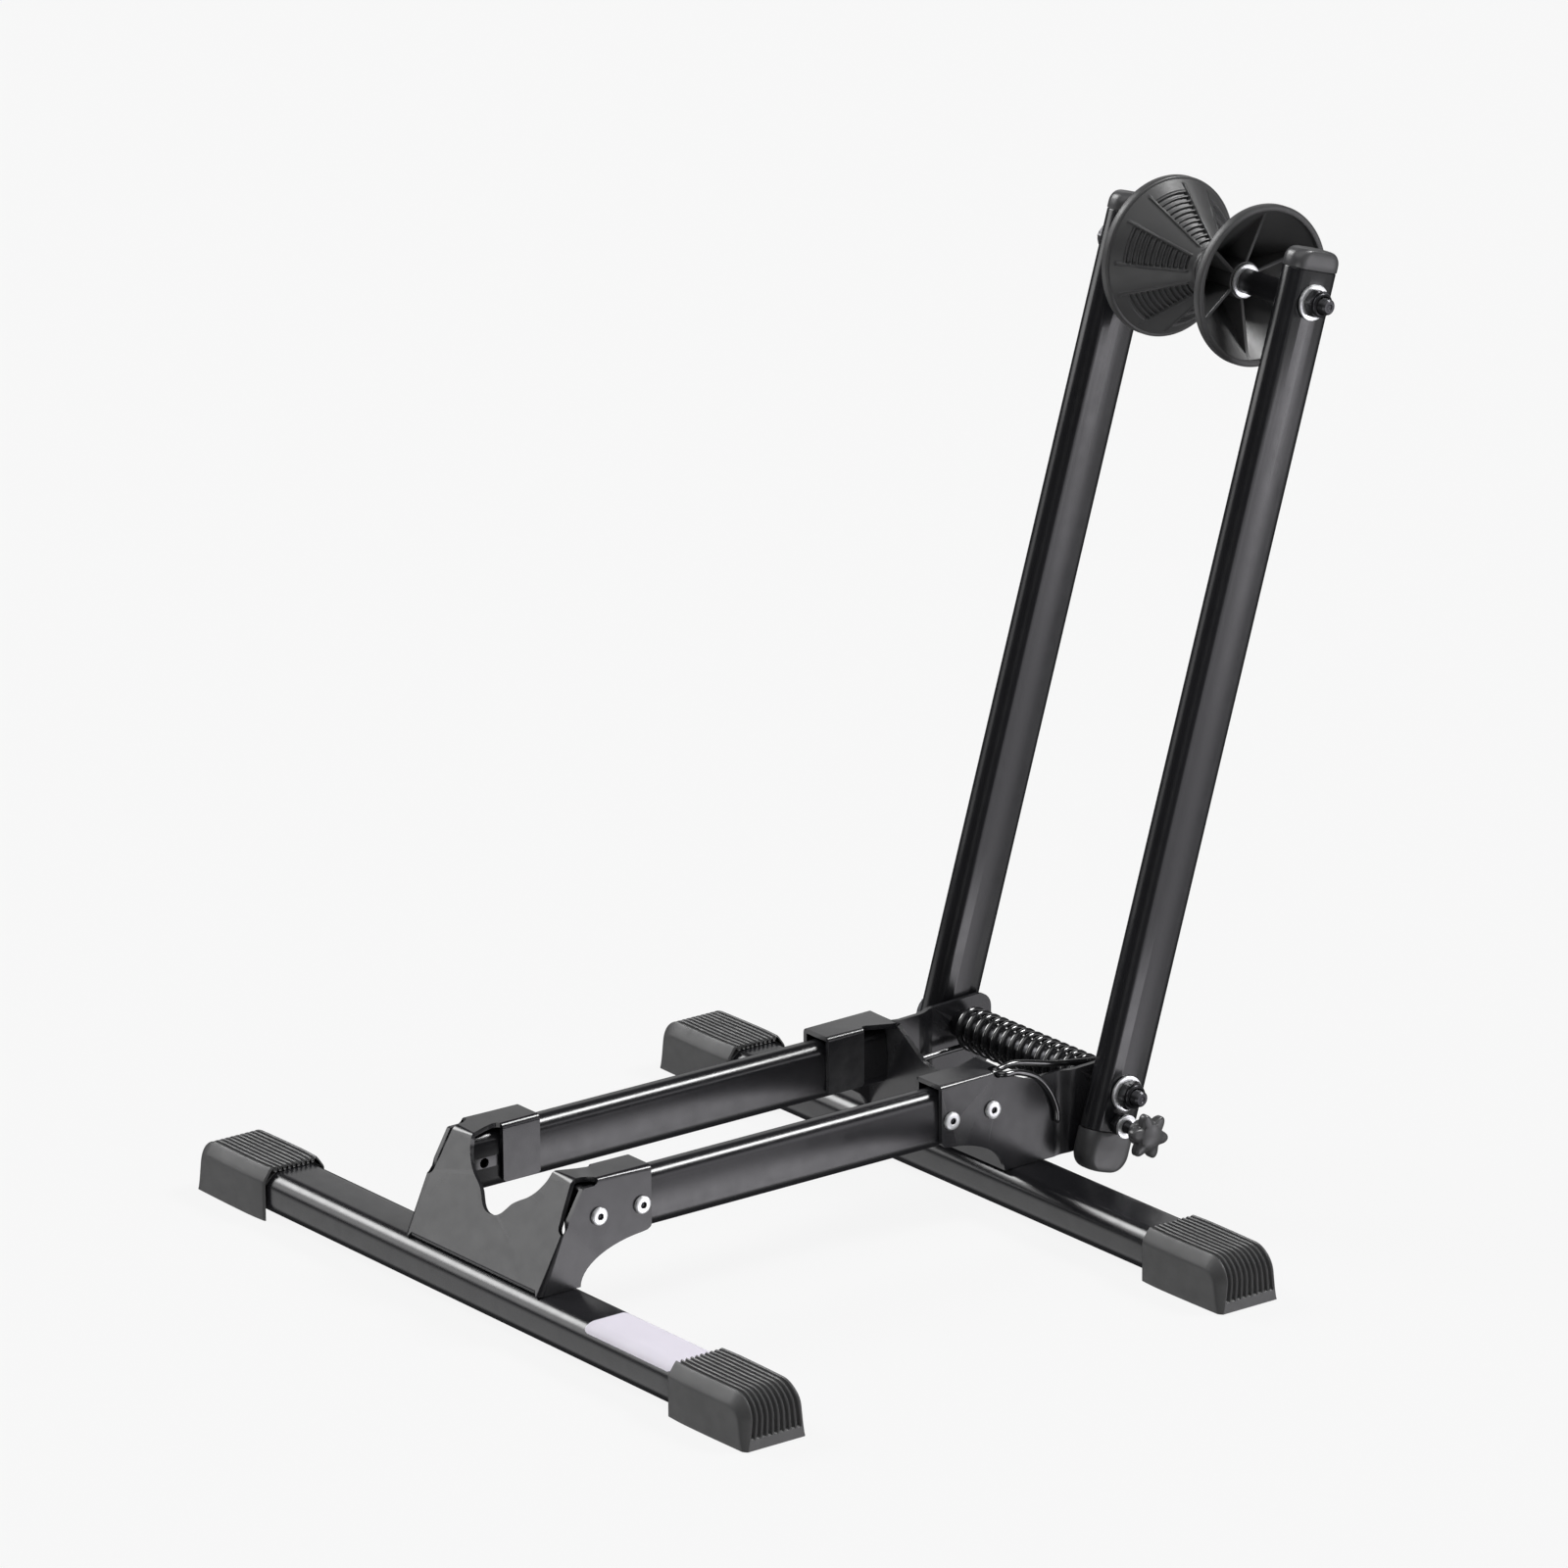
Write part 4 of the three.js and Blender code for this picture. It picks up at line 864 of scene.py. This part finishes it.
def plug_rings(head, insert, edge, depth_y):
    """A moulded plug: spigot, flat seat, then a head whose corners fall away along Y."""
    inset = tube_wall + gap
    spigot = rounded(tube_half_x - inset, tube_half_y - inset, tube_radius - inset, 12)
    seat = rounded(tube_half_x, tube_half_y, tube_radius, 12)
    rings = []
    for loop, share_a, share_b, z in ((spigot, 0.94, 0.97, -insert), (spigot, 1, 1, -insert + 0.8),
                                      (spigot, 1, 1, gap), (seat, 0.97, 0.985, gap), (seat, 1, 1, 0.75)):
        rings.append([(a * share_a, b * share_b, z) for a, b in loop])
    for angle in np.linspace(0, math.pi / 2, 12):
        fall = 1 - math.cos(angle)
        shrink_x = min(1.4, edge * 0.3) * fall**1.5
        half_a, half_b = tube_half_x - shrink_x, tube_half_y - depth_y * fall
        radius = max(1.5, min(tube_radius - shrink_x, half_b - 0.1))
        z = head - edge + edge * math.sin(angle)
        rings.append([(a, b, z) for a, b in rounded(half_a, half_b, radius, 12)])
    return strips(rings, caps=True)


def arm_drill(side, radius, z, sides):
    return drill(radius, side * (arm_inner - 1), side * (arm_outer + 1), 0, z, sides, ARMS)


for side_name, side in SIDES:
    obj = solid(side_name + "_arm_tube", placed(tube_points, side), tube_faces, ARMS)
    drills = [arm_drill(side, bolt_bore, z, 36) for z in (0, arm_reach)]
    if side > 0:
        drills.append(arm_drill(side, lock_bore, -lock_drop, 32))
    carve(obj, *drills)
    dress(obj, side_name + "_arm")

    points, faces = plug_rings(10.0, 8.0, 6.5, 6.5)
    points = placed(points, side, dx=arm_x, dz=tube_end_top)
    piece(side_name + "_arm_top_plug_moulding", points, faces, side_name + "_arm_top_plug", ARMS)

    points, faces = plug_rings(20.5, 12.0, 9.5, 8.5)
    points = placed([(x, y, -z) for x, y, z in points], side, dx=arm_x, dz=tube_end_low)
    obj = solid(side_name + "_arm_bottom_plug_moulding", points, faces, ARMS)
    if side > 0:
        carve(obj, arm_drill(side, lock_bore, -lock_drop, 32))
    dress(obj, side_name + "_arm_bottom_plug")

# -------- roller

roller_radius = (roller_half_high[2] - roller_half_low[2]) / 2
roller_outer = roller_half_high[0]
rim_from = roller_outer - 5.0
hub_face = roller_outer - 14.0
inner_x = 0.15
waist = 12.0
cone_start = 2.0
cone_rise = roller_radius - 1.5 - waist
sector_count = 6
sector = 2 * math.pi / sector_count
web_phase = math.radians(37.8)
ladder_span = math.radians(34)
ridge_height = 0.75
rung_depth = 1.35
rung_count = 10
rung_pitch = 2.95
rung_from = 4.2


def smooth(edge0, edge1, value):
    t = min(1.0, max(0.0, (value - edge0) / (edge1 - edge0)))
    return t * t * (3 - 2 * t)


def cone_relief(theta, along):
    """Height over the cone's face: raised ridges between the sectors and rungs in a sunk band."""
    local = (theta - web_phase) % sector
    slant = math.hypot(cone_rise, rim_from - cone_start)
    run = along * slant
    radius = waist + cone_rise * along

    def ridge(angle):
        off = abs(local - angle)
        return 1 - smooth(0.35, 0.95, radius * min(off, sector - off))

    reach = smooth(1.5, 3.5, run) * (1 - smooth(slant - 4.0, slant - 1.8, run))
    height = ridge_height * max(ridge(0.0), ridge(ladder_span)) * reach
    band = smooth(0.5, 1.1, radius * local) * smooth(0.5, 1.1, radius * (ladder_span - local))
    step = (run - rung_from) / rung_pitch
    rung = 1 - smooth(0.14, 0.26, abs(step - round(step)))
    ladder_end = rung_from + rung_pitch * rung_count
    inside = smooth(2.6, 3.4, run) * (1 - smooth(ladder_end, ladder_end + 1, run))
    return height - rung_depth * band * inside * (1 - rung)


def roller_rings():
    """A hollow cone: bore, ribbed face, rim, the open side and the hub."""
    thetas = around(432)
    shell, hub, bore = 3.2, 9.5, 6.2
    start = ((inner_x, bore), (inner_x, waist - 0.4), (inner_x + 0.15, waist))
    rings = [circle(x, r, thetas) for x, r in start]
    slope_x = rim_from - cone_start - inner_x
    length = math.hypot(slope_x, cone_rise)
    for along in np.linspace(0, 1, 130):
        loop = []
        for t in thetas:
            height = cone_relief(t, along)
            x = inner_x + cone_start + slope_x * along - cone_rise / length * height
            r = waist + cone_rise * along + slope_x / length * height
            loop.append((max(x, inner_x + 0.2), r * math.cos(t), r * math.sin(t)))
        rings.append(loop)
    rim = roller_radius - shell
    turn = [
        (rim_from + 0.1, roller_radius - 0.7), (rim_from + 0.5, roller_radius - 0.15),
        (rim_from + 1.0, roller_radius), (roller_outer - 0.9, roller_radius),
        (roller_outer - 0.25, roller_radius - 0.25),
        (roller_outer, roller_radius - 0.8), (roller_outer, rim + 0.6), (roller_outer - 0.3, rim + 0.1),
        (roller_outer - 1.2, rim), (rim_from + 2.0, rim), (inner_x + 6.5, hub + 0.4), (inner_x + 6.9, hub),
        (hub_face - 0.3, hub), (hub_face, hub - 0.3), (hub_face, bore), (inner_x, bore),
    ]
    return strips(rings + [circle(x, r, thetas) for x, r in turn])


def roller_web(angle):
    """One stiffening web in the open face, from the hub to the rim; its outer edge is a little thinner."""
    outline = [(5.5, 9.0), (hub_face - 0.4, 9.0), (hub_face - 0.3, 9.6),
               (roller_outer - 5.2, roller_radius - 5.5), (roller_outer - 2.6, roller_radius - 3.0),
               (rim_from + 1.5, roller_radius - 3.0), (7.4, 12.0)]
    turn = Matrix.Rotation(angle - math.pi / 2, 3, "X")
    rings = []
    for w, tuck in ((-1.0, 0.25), (-0.75, 0.0), (0.75, 0.0), (1.0, 0.25)):
        edge = [(x - tuck * (i in (2, 3, 4)), w, r) for i, (x, r) in enumerate(outline)]
        rings.append([tuple(turn @ Vector(p)) for p in edge])
    return strips(rings, caps=True)


cone_points, cone_faces = roller_rings()
for side_name, side in SIDES:
    node = side_name + "_roller_half"
    piece(node + "_cone", placed(cone_points, side), cone_faces, node, AXLE, math.radians(38))
    for i in range(sector_count):
        points, faces = roller_web(web_phase + i * sector)
        piece(f"{node}_web_{i + 1}", placed(points, side), faces, node, AXLE)
    washer(side_name + "_hub_washer_disc", side_name + "_hub_washer", AXLE, bolt_bore, 8.5, 0.3)
    washer(side_name + "_roller_spacer_tube", side_name + "_roller_spacer", AXLE, bolt_bore, 6.2, 0.5, 48)
washer("roller_bush_tube", "roller_bush", AXLE, bolt_bore, 5.9, 0.3, 48)

# -------- lock screw and knob

nut("lock_hex_nut", "lock_nut", LOCK, 10.0, 3.0)
washer("lock_washer_disc", "lock_washer", LOCK, lock_bore, 6.0, 0.3, 48)
screw_low, screw_high = ends("lock_screw")
flights = [(x, 3.0 - 0.3 * (i % 2)) for i, x in enumerate(np.arange(screw_low + 1.4, screw_high - 0.6, 0.5))]
screw = [(screw_low, 0.01), (screw_low, 2.2), (screw_low + 0.8, 3.0), *flights, (screw_high, 2.6),
         (screw_high, 0.01)]
piece("lock_screw_thread", *turned(screw, 40), "lock_screw", LOCK)

knob_low, knob_high = edges("lock_knob")
knob_socket = 7.8


def knob_mesh():
    """A star head with a domed face on a stepped hub, and the socket for the screw."""
    x0, x1 = knob_low[0], knob_high[0]
    back = x0 + 6.0
    tip = (knob_high[2] - knob_low[2]) / 2
    thetas = around(144)

    def star(x, grow, roundness=0.0):
        loop = []
        for t in thetas:
            point = tip * (0.66 + 0.34 * (0.5 + 0.5 * math.cos(6 * t)) ** 0.85)
            r = point * (1 - roundness) + 0.7 * tip * roundness + grow
            loop.append((x, r * math.cos(t), r * math.sin(t)))
        return loop

    hub = [circle(x, r, thetas) for x, r in ((x0, 3.4), (x0, 5.9), (x0 + 0.4, 6.4), (back - 0.8, 6.8))]
    head = [star(back - 0.3, -0.9, 0.25), star(back, -0.4), star(back + 0.5, 0.0), star(x1 - 3.6, 0.0),
            star(x1 - 3.0, -0.15), star(x1 - 2.5, -0.6, 0.05), star(x1 - 2.1, -1.4, 0.2),
            star(x1 - 1.7, -2.2, 0.6)]
    dome = [circle(x1 - 1.35 * (r / 6.4) ** 2, r, thetas) for r in (6.4, 5.6, 4.6, 3.4, 2.2, 1.0)]
    return strips([circle(x0 + knob_socket, 3.3, thetas), *hub, *head, *dome], caps=True)


piece("lock_knob_star", *knob_mesh(), "lock_knob", LOCK, math.radians(40))

# -------- blank label

film_top = 0.2
film_thickness = 0.12
label_corner = 3.0


def label_mesh():
    """A thin film wrapped over the bar's top, with rounded corners."""
    low, high = edges("blank_label")
    bar_line = rounded(bar_half_y + film_top, bar_half_z + film_top, bar_radius + film_top, 24)
    ys, zs = zip(*sorted((a, b + bar_mid_z) for a, b in bar_line if b > -1))
    spans = np.cumsum([0.0, *(math.hypot(*step) for step in zip(np.diff(ys), np.diff(zs)))])
    first, last = (np.interp(corner[1] - origin_y, ys, spans) for corner in (low, high))
    middle_x, half_x, half_s = (low[0] + high[0]) / 2, (high[0] - low[0]) / 2, (last - first) / 2
    grid = []
    for s in np.linspace(-half_s, half_s, 40):
        over = max(0.0, abs(s) - (half_s - label_corner))
        reach = half_x - label_corner + math.sqrt(max(0.0, label_corner**2 - over**2))
        y, z = (np.interp(first + half_s + s, spans, values) for values in (ys, zs))
        grid.append([(middle_x + share * reach, y, z) for share in np.linspace(-1, 1, 24)])
    return strips(grid, closed=False)


obj = solid("blank_label_film", *label_mesh())
if sum(f.normal.z for f in obj.data.polygons) < 0:
    obj.data.flip_normals()
modify(obj, "SOLIDIFY", thickness=film_thickness * MM, offset=-1)
dress(obj, "blank_label")

# -------- camera

AZIMUTH = math.radians(52.78)
ELEVATION = math.radians(18.13)
ROLL = math.radians(-0.43)
DISTANCE = 5.00194
AIM = Vector((0.00642, -0.06017, 0.23039))

scene = bpy.context.scene
scene.view_settings.view_transform = "Standard"
scene.view_settings.look = "None"
back = Vector((math.sin(AZIMUTH) * math.cos(ELEVATION), -math.cos(AZIMUTH) * math.cos(ELEVATION),
               math.sin(ELEVATION)))
right = Vector((math.cos(AZIMUTH), math.sin(AZIMUTH), 0))
up = back.cross(right)
axes = (right * math.cos(ROLL) + up * math.sin(ROLL), up * math.cos(ROLL) - right * math.sin(ROLL), back)
camera = linked("camera", bpy.data.cameras.new("camera"))
camera.matrix_world = Matrix.Translation(AIM + back * DISTANCE) @ Matrix(axes).transposed().to_4x4()
camera.data.sensor_width = 36
camera.data.lens = 238.46
camera.data.clip_end = 60
scene.camera = camera

# -------- studio

PAPER = 0.938
GLIMMER = 0.03

# Soft lobes of light: direction, half angle of the full part, half angle where it ends, strength.
LOBES = [
    ((0.757, 0.575, -0.36), 3, 14, 3.0),
    ((0.757, 0.575, -0.25), 10, 42, 0.75),
    ((-0.757, -0.60, 0.33), 6, 18, 3.1),
    ((-0.757, -0.575, -0.42), 4, 22, 1.2),
    ((-0.757, 0.575, 0.311), 4, 20, 0.7),
    ((-0.757, -0.26, 0.62), 4, 17, 13.0),
    ((0.33, 0.575, 0.757), 3, 12, 40.0),
    ((0.60, -0.72, -0.311), 4, 22, 2.4),
    ((0.30, -0.40, 0.87), 10, 40, 1.3),
]


def combine(tree, operation, first, second):
    return add(tree, "Math", {0: first, 1: second}, operation=operation).outputs["Value"]


def ramp(tree, value, start, end, low, high):
    """A value that runs smoothly from low at start to high at end."""
    return add(tree, "MapRange", {"Value": value, "From Min": start, "From Max": end, "To Min": low,
                                  "To Max": high}, interpolation_type="SMOOTHSTEP").outputs["Result"]


world = bpy.data.worlds.new("studio")
scene.world = world
world.use_nodes = True
tree = world.node_tree
sky = tree.nodes["Background"]
ways = add(tree, "TexCoord").outputs["Generated"]
light = GLIMMER
for direction, full, end, strength in LOBES:
    dot = add(tree, "VectorMath", {0: ways, 1: Vector(direction).normalized()}, operation="DOT_PRODUCT")
    outer, inner = math.cos(math.radians(end)), math.cos(math.radians(full))
    lobe = ramp(tree, dot.outputs["Value"], outer, inner, 0, strength)
    light = combine(tree, "ADD", light, lobe)
feed(tree, sky, {"Color": (1, 1, 1, 1), "Strength": light})
seen = add(tree, "Background", {"Color": (PAPER, PAPER, PAPER, 1)})
camera_ray = add(tree, "LightPath").outputs["Is Camera Ray"]
mixer = add(tree, "MixShader", {"Fac": camera_ray, 1: sky.outputs["Background"],
                                2: seen.outputs["Background"]})
feed(tree, tree.nodes["World Output"], {"Surface": mixer.outputs["Shader"]})


def sheet_of(name, corners, material):
    """A plain four-sided surface of the studio."""
    mesh = bpy.data.meshes.new(name)
    mesh.from_pydata(corners, [], [(0, 1, 2, 3)])
    mesh.materials.append(material)
    return linked(name, mesh)


paper, tree = new_material("floor_paper")
feed(tree, tree.nodes["Principled BSDF"], {
    "Base Color": (0.03, 0.03, 0.03, 1), "Roughness": 1.0, "Specular IOR Level": 0.0,
    "Emission Color": (1, 1, 1, 1), "Emission Strength": PAPER * 0.95,
})
half = 14.0
floor = sheet_of("floor", [(-half, -half, 0), (half, -half, 0), (half, half, 0), (-half, half, 0)], paper)
floor.location.z = -0.0005
floor.visible_glossy = False
floor.visible_shadow = False

# A tall soft box beyond the right-hand side, seen only in reflections: brighter towards the arms' upper ends,
# and low down beside the rails.
glow, tree = new_material("soft_box_glow")
tree.nodes.clear()
split = add(tree, "SeparateXYZ", {"Vector": add(tree, "TexCoord").outputs["Object"]}).outputs
upper = combine(tree, "MULTIPLY", ramp(tree, split["Z"], -0.18, 0.06, 1.3, 5.2),
                ramp(tree, split["Y"], 0.74, 0.88, 0.15, 1.0))
upper = combine(tree, "MULTIPLY", upper, ramp(tree, split["Y"], 1.06, 1.2, 1.0, 0.2))
lower = combine(tree, "MULTIPLY", ramp(tree, split["Z"], -0.46, -0.2, 4.0, 0.7),
                ramp(tree, split["Y"], 0.78, 0.9, 1.0, 0.0))
lamp = add(tree, "Emission", {"Color": (0.97, 0.95, 1.0, 1), "Strength": combine(tree, "ADD", upper, lower)})
add(tree, "OutputMaterial", {"Surface": lamp.outputs["Emission"]})
box_x = 1.0
near, far = 0.25, 1.45
foot, head = -0.75, 0.35
corners = ((near, foot), (near, head), (far, head), (far, foot))
card = sheet_of("soft_box", [(box_x, y, z) for y, z in corners], glow)
card.visible_camera = False
card.visible_diffuse = False
card.visible_shadow = False
card.visible_transmission = False
